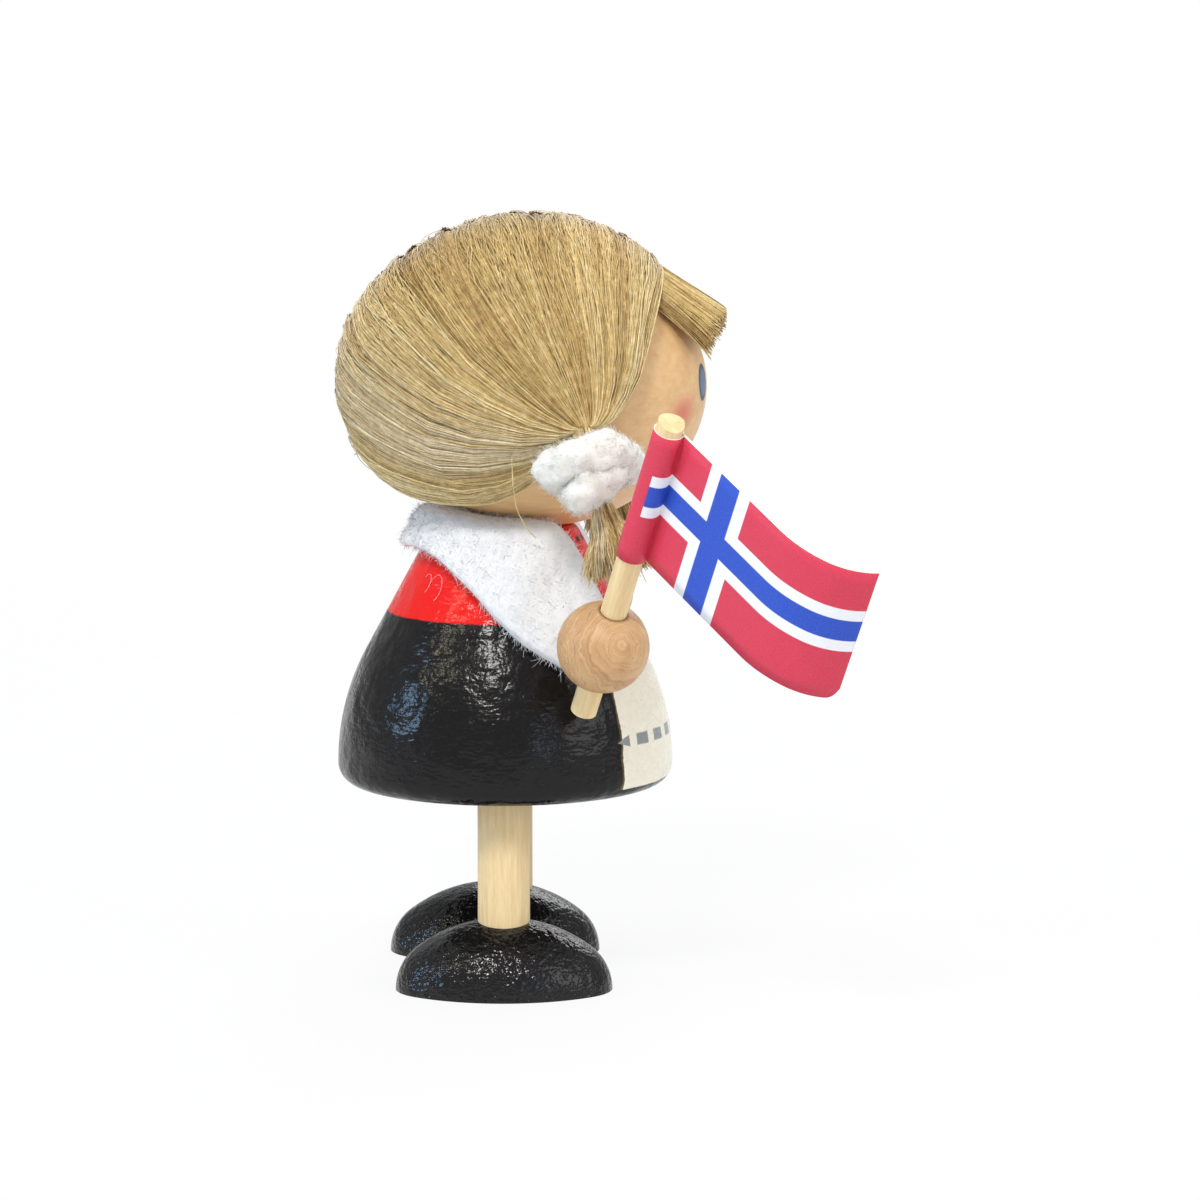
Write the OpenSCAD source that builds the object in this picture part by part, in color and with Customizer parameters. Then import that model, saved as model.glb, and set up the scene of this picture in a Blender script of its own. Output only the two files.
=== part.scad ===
// Turned wooden peg doll in folk dress, holding a paper flag on a stick.
// Millimetres. Z is up, the doll looks along -Y and its right hand is on -X.
// The origin lies on the standing plane, under the axis of the body.

/* [Body] */
// Largest radius of the skirt
skirt_r = 19.5; // [18:0.1:22]
// Height of the skirt's underside above the standing plane
skirt_z = 22.5; // [19:0.1:26]
// Height of the turned body from its underside to its flat top
body_h = 30.3; // [28:0.1:33]
// Radius of the rounded hem at the bottom of the skirt
hem_r = 2.3; // [1.5:0.1:4]
// Radius of the long curve between hem and shoulder
flank_r = 28; // [26:0.5:38]
// Lean of the shoulder from upright, in degrees
shoulder_lean = 28.5; // [24:0.5:30]
// Radius of the rounded edge at the top of the body
shoulder_r = 1.6; // [0.8:0.1:3]

/* [Head] */
// Diameter of the turned head across its axis
head_d = 33.5; // [30:0.1:36]
// Length of the head from face to back
head_l = 40; // [37:0.1:44]
// Radius of the head's round ends
head_end_r = 13.6; // [12:0.1:14.5]
// How far the middle of the head lies in front of the body's axis
head_forward = 3.4; // [0:0.1:6]
// How far the face end dips, in degrees
head_dip = 4; // [0:0.5:8]
// Depth of the flat that is sanded under the head as its seat
seat_depth = 0.4; // [0.2:0.05:0.45]

/* [Dowels and legs] */
// Diameter of the leg dowels
leg_d = 6; // [5:0.1:7]
// Distance between the axes of the two legs
leg_pitch = 21.8; // [20:0.1:24]
// Depth of the leg holes in the body
leg_hole_body = 8; // [5:0.5:11]
// Depth of the leg holes in the shoes
leg_hole_shoe = 5; // [3:0.1:6]
// Diameter of the hidden neck dowel
neck_d = 6; // [4:0.1:8]
// How far the neck dowel goes into the body and into the head
neck_reach = 8; // [5:0.5:10]

/* [Shoes] */
// Length of a shoe
shoe_l = 25; // [22:0.1:28]
// Height of a shoe, which is half the width of the turned egg it is sawn from
shoe_h = 8.2; // [7.4:0.1:8.8]
// Radius of the egg's round ends
shoe_end_r = 6; // [5:0.1:7]
// How far the left shoe sits behind its leg's middle
left_shoe_back = 1.5; // [0:0.1:3]

/* [Hands and flag pole] */
// Diameter of the wooden bead that makes a hand
hand_d = 10.4; // [9:0.1:12]
// Distance of a hand's middle to the side of the body's axis
hand_x = 22.5; // [21.5:0.1:25]
// Distance of a hand's middle in front of the body's axis
hand_y = 11.4; // [10:0.1:13]
// Height of the body's flat top above a hand's middle
hand_drop = 11.3; // [8.8:0.1:12.8]
// How much farther back the left hand sits than the right one, in degrees round the body
left_hand_back = 3.8; // [0:0.1:5]
// Diameter of the flag pole
pole_d = 3; // [2.5:0.1:3.4]
// Length of the flag pole
pole_l = 40.4; // [34:0.1:48]
// Length of pole from its foot to the middle of the hand
pole_foot = 9.2; // [7:0.1:9.6]
// Lean of the pole from upright, in degrees
pole_lean = 31; // [26:0.5:36]
// Turn of that lean from straight sideways towards the front, in degrees
pole_turn = 27.5; // [18:0.5:34]
// Slant of the cut at the top of the pole, in degrees
pole_cut = 18; // [0:1:30]

/* [Paper flag] */
// Height of the flag along its pole
flag_h = 17; // [14:0.1:20]
// Thickness of one layer of paper: one goes round the pole, and two are glued in the sheet
paper_t = 0.15; // [0.1:0.05:0.25]
// Length of the flat part of the flag next to the pole
flag_flat = 17.8; // [10:0.1:20]
// Where the sheet leaves the pole, in degrees round it from its lean towards the front
flag_crease = 61; // [45:1:75]
// Direction of the flat part, in degrees from the pole's lean towards the front
flag_swing = 12; // [5:0.5:25]
// Radius of the first, gentle bend
bend_r1 = 12.8; // [10:0.1:24]
// Turn of the first bend, in degrees
bend_a1 = 28; // [15:1:40]
// Radius of the second bend at the free end
bend_r2 = 7.3; // [6:0.1:14]
// Turn of the second bend, in degrees
bend_a2 = 47; // [25:1:60]
// Distance of the flag's top edge below the top of the pole
flag_drop = 0.8; // [0.2:0.1:3]

/* [Felt sleeves] */
// Width of the felt strip over the nape
felt_w = 5.2; // [4.4:0.1:6]
// Thickness of the felt
felt_t = 2.6; // [1.5:0.1:3]
// Room between felt and body
felt_gap = 0.2; // [0.1:0.05:0.5]

/* [Hair] */
// Thickness of the flax over the head
wig_t = 2.9; // [1.5:0.1:3.5]
// Where the hair ends over the forehead, measured back from the tip of the face
forehead_l = 6.4; // [5:0.1:8.6]
// Where the parting ends in the nape, in degrees round the head's side outline from straight ahead
parting_nape = 226; // [215:1:235]
// Length of the cut fringe in the middle
fringe_l = 8.8; // [6:0.1:12]
// Thickness of the fringe
fringe_t = 1.6; // [1:0.1:2.2]
// Width of the fringe
fringe_w = 16; // [12:0.1:18]
// Radius of its rounded cut end, seen from above
fringe_cut_r = 18.7; // [14:0.1:40]
// Droop of the fringe below the head's own axis, in degrees
fringe_droop = 31; // [24:1:38]
// Length of a pigtail below its tie
pigtail_l = 11; // [8:0.2:14]
// Lean of a pigtail towards the front, in degrees
pigtail_forward = 16; // [8:1:24]
// Lean of a pigtail to the side, in degrees
pigtail_out = 6; // [0:1:10]
// Radius of a pigtail at its root
pigtail_root_r = 1.2; // [1:0.1:1.6]
// Radius of a pigtail at its cut end
pigtail_end_r = 3.3; // [2.4:0.1:4]
// Diameter of the fluffy yarn of the hair ties
yarn_d = 4.2; // [3.4:0.1:5]

/* [Hidden] */

$fn = 96;
over = 1;             // how far a cutting form runs past what it cuts
glue_gap = 0.05;      // radial room for glue round a dowel
running_gap = 0.05;   // radial room that lets the pole slide in the hand
soft_gap = 0.15;      // room between soft pieces and their neighbours

// ---- body ----
shoulder_dir = [cos(shoulder_lean), sin(shoulder_lean)];
flank_z = skirt_z + hem_r;
join_z = flank_z + flank_r * sin(shoulder_lean);
join_r = skirt_r - flank_r * (1 - cos(shoulder_lean));
body_top = skirt_z + body_h;

// Radius of the shoulder's cone at height z, also above the body's top
function cone_r(z) = join_r - (z - join_z) * tan(shoulder_lean);

// Radius of the body's outside at height z
function body_r(z) = z > join_z ? cone_r(z)
    : z > flank_z ? skirt_r - flank_r + sqrt(pow(flank_r, 2) - pow(z - flank_z, 2))
    : skirt_r;

module body_profile() {
    round_z = body_top - shoulder_r;
    round_x = cone_r(round_z + shoulder_r * shoulder_dir[1]) - shoulder_r * shoulder_dir[0];
    touch = [round_x, round_z] + shoulder_r * shoulder_dir;
    intersection() {
        translate([0, skirt_z]) square([skirt_r + over, body_h]);
        union() {
            polygon([[0, skirt_z], [skirt_r - hem_r, skirt_z], [skirt_r - hem_r, flank_z], [0, flank_z]]);
            translate([skirt_r - hem_r, flank_z]) circle(hem_r);
            intersection() {
                translate([skirt_r - flank_r, flank_z]) circle(flank_r);
                translate([0, flank_z]) square([skirt_r + over, join_z - flank_z]);
            }
            polygon([[0, join_z], [join_r, join_z], touch, [round_x, round_z],
                     [round_x, body_top], [0, body_top]]);
            translate([round_x, round_z]) circle(shoulder_r);
        }
    }
}

module body() {
    color("black") difference() {
        rotate_extrude() body_profile();
        for (side = [-1, 1])
            translate([side * leg_pitch / 2, 0, skirt_z - over])
                cylinder(d = leg_d + 2 * glue_gap, h = leg_hole_body + over);
        translate([0, 0, body_top - neck_reach])
            cylinder(d = neck_d + 2 * glue_gap, h = neck_reach + over);
    }
}

// ---- turned ovals: head and shoes ----
// Radius of the one arc that makes an oval's side, between round ends of radius e
function side_r(half_l, half_w, e) =
    (pow(half_l - e, 2) + half_w * half_w - e * e) / (2 * (half_w - e));

// Half outline, for turning, of an oval with round ends of radius e
module half_oval(half_l, half_w, e) {
    end_y = half_l - e;
    r = side_r(half_l, half_w, e);
    middle = [half_w - r, 0];
    slope = atan2(end_y, r - half_w);
    far = 2 * r;
    intersection() {
        translate([0, -half_l]) square([half_w, 2 * half_l]);
        union() {
            for (s = [-1, 1]) translate([0, s * end_y]) circle(e);
            intersection() {
                translate(middle) circle(r);
                polygon([middle, middle + far * [cos(slope), sin(slope)],
                         middle + far * [cos(slope), -sin(slope)]]);
            }
        }
    }
}

// ---- head ----
head_z = body_top - seat_depth + head_d / 2;
head_side_r = side_r(head_l / 2, head_d / 2, head_end_r);

// Puts a child that is modelled round +Z, with +Y up, on the head's own axis
module head_pose() {
    translate([0, -head_forward, head_z]) rotate([90 + head_dip, 0, 0]) children();
}

module head() {
    color("burlywood") difference() {
        head_pose() rotate_extrude() half_oval(head_l / 2, head_d / 2, head_end_r);
        translate([-head_d, -head_d, body_top - head_d]) cube([2 * head_d, 2 * head_d, head_d]);
        translate([0, 0, body_top - over]) cylinder(d = neck_d + 2 * glue_gap, h = neck_reach + over);
    }
}

module neck_dowel() {
    color("tan") translate([0, 0, body_top - neck_reach + glue_gap])
        cylinder(d = neck_d, h = 2 * (neck_reach - glue_gap));
}

// ---- legs and shoes ----
function shoe_back(side) = side > 0 ? left_shoe_back : 0;

module leg(side) {
    foot_z = shoe_h - leg_hole_shoe + glue_gap;
    color("wheat") translate([side * leg_pitch / 2, 0, foot_z])
        cylinder(d = leg_d, h = skirt_z + leg_hole_body - glue_gap - foot_z);
}

module shoe(side) {
    color("black") difference() {
        translate([side * leg_pitch / 2, shoe_back(side), 0])
            rotate([90, 0, 0]) rotate_extrude() half_oval(shoe_l / 2, shoe_h, shoe_end_r);
        translate([-leg_pitch, -shoe_l, -2 * shoe_h]) cube([2 * leg_pitch, 2 * shoe_l, 2 * shoe_h]);
        translate([side * leg_pitch / 2, 0, shoe_h - leg_hole_shoe])
            cylinder(d = leg_d + 2 * glue_gap, h = shoe_h);
    }
}

module right_leg() leg(-1);
module left_leg() leg(1);
module right_shoe() shoe(-1);
module left_shoe() shoe(1);

// ---- hands and flag ----
hand_z = body_top - hand_drop;

// Puts a child that stands on the pole's axis, with the hand's middle at 0, into the right hand
module pole_pose() {
    translate([-hand_x, -hand_y, hand_z]) rotate([0, pole_lean, 180 + pole_turn]) children();
}

module right_hand() {
    color("burlywood") pole_pose() difference() {
        sphere(d = hand_d);
        cylinder(d = pole_d + 2 * running_gap, h = 2 * hand_d, center = true);
    }
}

module left_hand() rotate(left_hand_back) mirror([1, 0, 0]) right_hand();

module flag_pole() {
    color("wheat") pole_pose() translate([0, 0, -pole_foot]) difference() {
        cylinder(d = pole_d, h = pole_l);
        translate([0, 0, pole_l]) rotate([0, pole_cut, 0]) translate([-pole_d, -pole_d, 0])
            cube([2 * pole_d, 2 * pole_d, pole_d]);
    }
}

bend_steps = 10;      // straight steps along each bend of the sheet
sheet_root = 3 * paper_t;  // how far the sheet starts behind its crease, inside the wrap

// Points of the sheet seen along the pole, at the distance off to the left of its middle line:
// flat from the crease, then two bends to the left
function sheet_edge(off) = let (
    middle = [flag_flat, bend_r1],
    next = middle + (bend_r1 - bend_r2) * [sin(bend_a1), -cos(bend_a1)])
    concat([[-sheet_root, off]],
        [for (i = [0 : bend_steps]) let (w = bend_a1 * i / bend_steps)
            middle + (bend_r1 - off) * [sin(w), -cos(w)]],
        [for (i = [1 : bend_steps]) let (w = bend_a1 + bend_a2 * i / bend_steps)
            next + (bend_r2 - off) * [sin(w), -cos(w)]]);

// The whole sheet seen along the pole: once round the pole, then away from it at the crease
module flag_outline() {
    wrap_r = pole_d / 2 + glue_gap;
    left = sheet_edge(paper_t);
    difference() {
        union() {
            circle(wrap_r + paper_t);
            rotate(flag_crease) translate([wrap_r + paper_t / 2, 0]) rotate(flag_swing - flag_crease)
                polygon(concat(sheet_edge(-paper_t), [for (i = [len(left) - 1 : -1 : 0]) left[i]]));
        }
        circle(wrap_r);
    }
}

module paper_flag() {
    top = pole_l - pole_foot - flag_drop - pole_d / 2 * tan(pole_cut);
    color("crimson") pole_pose() translate([0, 0, top - flag_h])
        linear_extrude(height = flag_h) flag_outline();
}

// ---- felt sleeves: one strip round the back of the neck, from hand to hand ----
hand_reach = norm([hand_x, hand_y]);
hand_turn = 90 + atan2(hand_y, hand_x);
end_r = hand_reach - hand_d / 2 - felt_t - soft_gap;

// Rows of the strip's lower and upper edge, from the nape to the right hand. Each edge point is
// an angle from the nape, a height and the room that it leaves over the body.
felt_rows = [
    [felt_edge(0, -0.54, 0), felt_edge(0, 0.46, 0)],
    [felt_edge(28, -0.48, 0), felt_edge(28, 0.46, 0)],
    [felt_edge(50, -0.65, 0), felt_edge(55, 0.38, 0)],
    [felt_edge(70, -1.13, 0), felt_edge(88, 0.29, 0)],
    [felt_edge(87, -1.83, 0), felt_edge(115, 0.15, 0.2)],
    [felt_edge(99, -2.35, 0.12), felt_edge(129, -0.3, 0.8)],
    [felt_end(-4, -0.33), felt_end(12, 0.42)]];
felt_steps = 4;       // cross-sections between two rows
felt_columns = 8;     // points across each face of the strip

// Edge point whose height is counted in widths of the strip above the body's top, and whose
// room over felt_gap is counted in thicknesses of the felt
function felt_edge(turn, widths, thicknesses) =
    [turn, body_top + widths * felt_w, felt_gap + thicknesses * felt_t];

// Edge point behind the hand: turn beside its middle, and height over it in hand diameters
function felt_end(turn, diameters) = let (z = hand_z + diameters * hand_d)
    [hand_turn + turn, z, end_r - body_r(z)];

// Smooth curve through rows a, b, c, d, from b at t = 0 to c at t = 1
function through(a, b, c, d, t) = b + 0.5 * t * ((c - a) + t * ((2 * a - 5 * b + 4 * c - d)
    + t * (3 * b - a - 3 * c + d)));

function felt_row(s) = let (last = len(felt_rows) - 1, i = min(floor(s), last - 1),
    before = i > 0 ? felt_rows[i - 1] : mirrored(felt_rows[1]),
    after = i + 2 > last ? 2 * felt_rows[last] - felt_rows[last - 1] : felt_rows[i + 2])
    through(before, felt_rows[i], felt_rows[i + 1], after, s - i);

function mirrored(row) = [for (p = row) [-p[0], p[1], p[2]]];

// One closed cross-section: up the inner face, then down the outer face
function felt_section(row) = let (n = felt_columns)
    [for (k = [0 : 2 * n - 1]) let (w = k < n ? k / (n - 1) : (2 * n - 1 - k) / (n - 1),
        p = (1 - w) * row[0] + w * row[1],
        thick = k < n ? 0 : felt_t * sqrt(1.04 - pow(abs(2 * w - 1), 3)),
        r = body_r(p[1]) + p[2] + thick)
        [-r * sin(p[0]), r * cos(p[0]), p[1]]];

module felt_sleeves() {
    last = (len(felt_rows) - 1) * felt_steps;
    rows = [for (i = [-last : last]) i < 0 ? mirrored(felt_row(-i / felt_steps)) : felt_row(i / felt_steps)];
    m = 2 * felt_columns;
    points = [for (row = rows) each felt_section(row)];
    color("white") polyhedron(points = points, faces = concat(
        [[for (k = [0 : m - 1]) k]],
        [for (i = [0 : len(rows) - 2]) for (k = [0 : m - 1]) each
            [[i * m + k, (i + 1) * m + k, (i + 1) * m + (k + 1) % m],
             [i * m + k, (i + 1) * m + (k + 1) % m, i * m + (k + 1) % m]]],
        [[for (k = [m - 1 : -1 : 0]) (len(rows) - 1) * m + k]]));
}

// ---- hair ----
// The wig is one bundle of flax, sewn down along a parting over the middle of the head and
// drawn to a tie on each side. Its strands start on the parting and follow the head to the tie.
// Directions here are [sideways, up, forward] in the head's own frame.
end_y = head_l / 2 - head_end_r;
junction = atan2(head_side_r - head_d / 2, end_y);

// Place on the head's form, grown by t, where its surface faces the direction n
function on_head(n, t) = let (turn = acos(n[2]), round = atan2(n[0], n[1]),
    w = turn < junction || turn > 180 - junction ? (head_end_r + t) * sin(turn)
        : (head_side_r + t) * sin(turn) - (head_side_r - head_d / 2),
    a = turn < junction ? end_y + (head_end_r + t) * cos(turn)
        : turn > 180 - junction ? -end_y + (head_end_r + t) * cos(turn)
        : (head_side_r + t) * cos(turn))
    [w * sin(round), w * cos(round), a];

// Direction part way from m to n, along the great circle
function between(m, n, v) = let (whole = acos(m * n))
    (m * sin((1 - v) * whole) + n * sin(v * whole)) / sin(whole);

edge_t = 0.75 * wig_t;  // thickness of the wig at its front and nape edges
hairline = head_l / 2 - forehead_l;
parting_front = acos(hairline / (head_side_r + edge_t));
tie_turn = 70;          // direction of the tie: from straight ahead,
tie_round = 121;        // and round the head from the top
tie_room = 1.3;         // room between the head and the middle of the tie's yarn
tie_dir = [-sin(tie_turn) * sin(tie_round), sin(tie_turn) * cos(tie_round), cos(tie_turn)];
yarn_ring_r = pigtail_root_r + 2 * soft_gap + yarn_d / 2;
tie_middle = on_head(tie_dir, 0) - [yarn_ring_r + yarn_d / 2 + tie_room, 0, 0];

// Way of the right pigtail, and two directions square to it: forward and away from the head
hang = unit([-tan(pigtail_out), -1, tan(pigtail_forward + head_dip)]);
hang_front = unit(cross(hang, [1, 0, 0]));
hang_side = cross(hang, hang_front);

function unit(v) = v / norm(v);

wig_columns = 36;     // strands modelled from the forehead to the nape
wig_rows = 10;        // points along a strand from the parting to the tie
tail_rows = 5;        // points along a strand from the tie to its cut end
edge_reach = 0.09;    // share of the strands over which the thickness grows from an edge
gather_from = 0.62;   // share of a strand's way at which it starts to leave the head
gather_turn = 0.93;   // share of the turn towards the tie that a strand makes on the head
ring_open = 8;        // where the edge strands lie in the gathered bunch, in degrees
brow_back = 0.29;     // how far the front strands keep back from the shortest way to the tie
nape_lift = 0.2;      // how far the nape strands keep above it
tail_flare = 0.8;     // how the bunch spreads: 1 is a straight cone, less is fuller near the tie
wig_gap = 0.35;       // room between head and wig

function smooth(x) = x <= 0 ? 0 : x >= 1 ? 1 : x * x * (3 - 2 * x);

// The tie's yarn goes once round the hair, and its ends run on past their crossing
yarn_cross = 35;      // how far each end runs past the crossing, in degrees
yarn_climb = 1.06 * yarn_d;  // rise of one full turn

// Distance past the tie's middle, along the pigtail, of point k after the gathering
tail_start = yarn_climb * (180 + yarn_cross) / 360 + yarn_d / 2 + 3 * soft_gap;
function tail_place(k) = k == 0 ? -tail_start
    : tail_start + (pigtail_l - tail_start) * (k - 1) / (tail_rows - 1);

// Radius of the bunch there: narrow within the tie, then spreading to the cut end
function tail_r(s) = pigtail_root_r + (pigtail_end_r - pigtail_root_r)
    * pow(max(0, s - tail_start) / (pigtail_l - tail_start), tail_flare);

// Place on strand u, from forehead 0 to nape 1, at point j, on the wig's outer or inner face.
// Point 0 is on the parting, and wig_rows is where the strand enters the tie.
function strand(u, j, outer) = let (
    v = min(1, j / wig_rows),
    start = parting_front + u * (parting_nape - parting_front),
    from = [0, sin(start), cos(start)],
    t = outer ? min(wig_t, edge_t + (wig_t - edge_t) * min(u, 1 - u) / edge_reach) : wig_gap,
    stray = sin(180 * v) * [0, nape_lift * u * u, -brow_back * pow(1 - u, 2)],
    ring = (outer ? 1 : -1) * (ring_open + (180 - 2 * ring_open) * u),
    s = tail_place(max(0, j - wig_rows)),
    bunch = tie_middle + s * hang + tail_r(s) * (cos(ring) * hang_front + sin(ring) * hang_side),
    lift = smooth((v - gather_from) / (1 - gather_from)))
    (1 - lift) * on_head(unit(between(from, tie_dir, gather_turn * v) + stray), t) + lift * bunch;

// A strand's point j, where a negative j is on the left side of the parting
function wig_point(u, j, outer) = let (p = strand(u, abs(j), outer)) j < 0 ? [-p[0], p[1], p[2]] : p;

function quad(a, b, c, d) = [[a, b, c], [a, c, d]];

module flax_wig() {
    half = wig_rows + tail_rows;
    m = 2 * half + 1;
    n = wig_columns + 1;
    grid = [for (outer = [true, false]) for (i = [0 : n - 1]) for (j = [-half : half])
        wig_point(i / (n - 1), j, outer)];
    inner = n * m;
    last = (n - 1) * m;
    faces = concat(
        [for (i = [0 : n - 2]) for (j = [0 : m - 2]) let (k = i * m + j)
            each quad(k, k + 1, k + m + 1, k + m)],
        [for (i = [0 : n - 2]) for (j = [0 : m - 2]) let (k = inner + i * m + j)
            each quad(k, k + m, k + m + 1, k + 1)],
        [for (j = [0 : m - 2]) each quad(inner + j, inner + j + 1, j + 1, j)],
        [for (k = [last : last + m - 2]) each quad(k, k + 1, inner + k + 1, inner + k)],
        [[for (i = [0 : n - 1]) i * m, for (i = [n - 1 : -1 : 0]) inner + i * m]],
        [[for (i = [n - 1 : -1 : 0]) i * m + m - 1, for (i = [0 : n - 1]) inner + i * m + m - 1]]);
    color("tan") head_pose() polyhedron(grid, faces);
}

fringe_gap = 0.4;     // room between the wig's front edge and the fringe's root

// A straight bunch as wide as fringe_w, draped over the forehead and cut round at its end
module flax_fringe() {
    root = hairline + fringe_gap;
    top_r = on_head([0, sin(parting_front), cos(parting_front)], edge_t)[1];
    along = fringe_l * [-sin(fringe_droop), cos(fringe_droop)];
    under = [-fringe_t / cos(fringe_droop), 0];
    color("tan") head_pose() intersection() {
        rotate_extrude(angle = 180)
            translate([top_r, root]) polygon([[0, 0], under, under + along, along]);
        rotate([90, 0, 0]) linear_extrude(height = 2 * top_r, center = true) intersection() {
            translate([-fringe_w / 2, root - over]) square([fringe_w, fringe_l + over]);
            translate([0, root + along[1] - fringe_cut_r]) circle(fringe_cut_r);
        }
    }
}

// ---- hair ties: fluffy yarn, once round the hair, with its ends crossing on the outside ----
yarn_sides = 10;
yarn_steps = 30;
yarn_tail = 3.5;      // length of the straight ends

// Middle of the yarn at step i: a turn round the hair that climbs, and a straight end each way
function yarn_middle(i) = let (
    half = 180 + yarn_cross,
    w = half * (2 * min(max(i - 2, 0), yarn_steps - 4) / (yarn_steps - 4) - 1),
    past = i < 2 ? (i - 2) / 2 : i > yarn_steps - 2 ? (i - yarn_steps + 2) / 2 : 0,
    side = unit(-cos(w) * hang_side + sin(w) * hang_front),
    ahead = unit(sin(w) * hang_side + cos(w) * hang_front))
    tie_middle + yarn_ring_r * side + past * yarn_tail * ahead + w / 360 * yarn_climb * hang;

// A tube of the given radius through the points, with its first side towards up
module tube(points, r, sides, up) {
    n = len(points);
    rings = [for (i = [0 : n - 1]) let (
        ahead = unit(points[min(i + 1, n - 1)] - points[max(i - 1, 0)]),
        across = unit(cross(ahead, up)), over = cross(across, ahead),
        slim = i == 0 || i == n - 1 ? 0.6 : 1)
        for (k = [0 : sides - 1]) let (w = -360 * k / sides)
            points[i] + slim * r * (cos(w) * across + sin(w) * over)];
    polyhedron(rings, concat([[for (k = [0 : sides - 1]) k]],
        [for (i = [0 : n - 2]) for (k = [0 : sides - 1]) each [
            [i * sides + k, (i + 1) * sides + k, (i + 1) * sides + (k + 1) % sides],
            [i * sides + k, (i + 1) * sides + (k + 1) % sides, i * sides + (k + 1) % sides]]],
        [[for (k = [sides - 1 : -1 : 0]) (n - 1) * sides + k]]));
}

module right_hair_tie() {
    color("white") head_pose()
        tube([for (i = [0 : yarn_steps]) yarn_middle(i)], yarn_d / 2, yarn_sides, hang);
}

module left_hair_tie() mirror([1, 0, 0]) right_hair_tie();

body();
head();
neck_dowel();
right_leg();
left_leg();
right_shoe();
left_shoe();
felt_sleeves();
right_hand();
left_hand();
flag_pole();
paper_flag();
flax_wig();
flax_fringe();
right_hair_tie();
left_hair_tie();
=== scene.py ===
"""Looks of a turned wooden peg doll with flax hair, felt sleeves and a paper flag.

Sizes in this file are millimetres in the doll's own frame: Z up, the doll looks along -Y and its
right hand is on -X. They become metres in make_mesh, which is where each mesh is made.
"""

import math

import bpy
import numpy as np
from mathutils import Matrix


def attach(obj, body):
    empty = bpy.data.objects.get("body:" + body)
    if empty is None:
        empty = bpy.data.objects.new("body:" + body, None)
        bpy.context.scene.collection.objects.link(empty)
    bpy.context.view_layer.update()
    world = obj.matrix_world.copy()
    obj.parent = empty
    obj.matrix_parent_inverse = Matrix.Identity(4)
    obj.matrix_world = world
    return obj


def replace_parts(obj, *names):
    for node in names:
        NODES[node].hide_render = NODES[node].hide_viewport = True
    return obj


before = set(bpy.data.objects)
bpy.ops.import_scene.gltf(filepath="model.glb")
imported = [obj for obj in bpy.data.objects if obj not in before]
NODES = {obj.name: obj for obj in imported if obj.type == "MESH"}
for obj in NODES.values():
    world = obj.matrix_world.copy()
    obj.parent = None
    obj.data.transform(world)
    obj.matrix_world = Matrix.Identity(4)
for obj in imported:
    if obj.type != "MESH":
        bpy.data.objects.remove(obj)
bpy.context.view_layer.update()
MM = 0.001


def random_for(name):
    """A generator of its own for each piece, so that one piece doesn't change another."""
    return np.random.default_rng(sum(ord(letter) * (i + 1) for i, letter in enumerate(name)))


def unit(v):
    v = np.asarray(v, float)
    return v / np.linalg.norm(v, axis=-1, keepdims=True)


def smooth(x):
    x = np.clip(x, 0, 1)
    return x * x * (3 - 2 * x)


def sind(a):
    return np.sin(np.radians(a))


def cosd(a):
    return np.cos(np.radians(a))


# ---------------------------------------------------------------- sizes shared with the solids
BODY_TOP = 52.8
HEAD_D, HEAD_L, HEAD_END_R, HEAD_FORWARD, HEAD_DIP, SEAT_DEPTH = 33.5, 40.0, 13.6, 3.4, 4.0, 0.4
WIG_T, HAIRLINE, PARTING_NAPE = 2.9, 13.6, 226.0
FRINGE_L, FRINGE_T, FRINGE_W, FRINGE_CUT_R, FRINGE_DROOP, FRINGE_GAP = 8.8, 1.6, 16.0, 18.7, 31.0, 0.4
TAIL_L, TAIL_FORWARD, TAIL_OUT, TAIL_ROOT_R, TAIL_END_R = 11.0, 16.0, 6.0, 1.2, 3.3
YARN_D, YARN_CROSS, YARN_TAIL = 4.2, 35.0, 3.5
HAND = np.array([-22.5, -11.4, 41.5])
HAND_D = 10.4
POLE_D, POLE_L, POLE_FOOT, POLE_LEAN, POLE_TURN, POLE_CUT = 3.0, 40.4, 9.2, 31.0, 27.5, 18.0
FLAG_H, PAPER_T, FLAG_FLAT, FLAG_CREASE, FLAG_SWING = 17.0, 0.15, 17.8, 61.0, 12.0
BEND_R1, BEND_A1, BEND_R2, BEND_A2, FLAG_DROP = 12.8, 28.0, 7.3, 47.0, 0.8
FELT_W, FELT_T, FELT_GAP = 5.2, 2.6, 0.2
SOFT_GAP, GLUE_GAP = 0.15, 0.05

HEAD_Z = BODY_TOP - SEAT_DEPTH + HEAD_D / 2


# ---------------------------------------------------------------- meshes
def add_object(name, data):
    thing = bpy.data.objects.new(name, data)
    bpy.context.scene.collection.objects.link(thing)
    return thing


def make_mesh(name, points, faces, material, slot, body="doll", **attributes):
    """A piece from points in mm. Each attribute is a number or three numbers per point."""
    mesh = bpy.data.meshes.new(name)
    points = np.asarray(points, float) * MM
    mesh.from_pydata(points.tolist(), [], [list(map(int, f)) for f in faces])
    mesh.polygons.foreach_set("use_smooth", [True] * len(mesh.polygons))
    for attribute, values in attributes.items():
        values = np.asarray(values, np.float32)
        kind, field = ("FLOAT", "value") if values.ndim == 1 else ("FLOAT_VECTOR", "vector")
        mesh.attributes.new(attribute, kind, "POINT").data.foreach_set(field, values.ravel())
    mesh.materials.append(material)
    mesh.update()
    piece = add_object(name, mesh)
    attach(piece, body)
    return piece


def grid_faces(rows, columns, closed=False, start=0):
    """Quads of a grid of points, which may close on itself along its columns."""
    steps = columns if closed else columns - 1
    i, j = np.meshgrid(np.arange(rows - 1), np.arange(steps), indexing="ij")
    here, beside = i * columns + j, i * columns + (j + 1) % columns
    return np.stack([here, beside, beside + columns, here + columns], -1).reshape(-1, 4) + start


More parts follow.
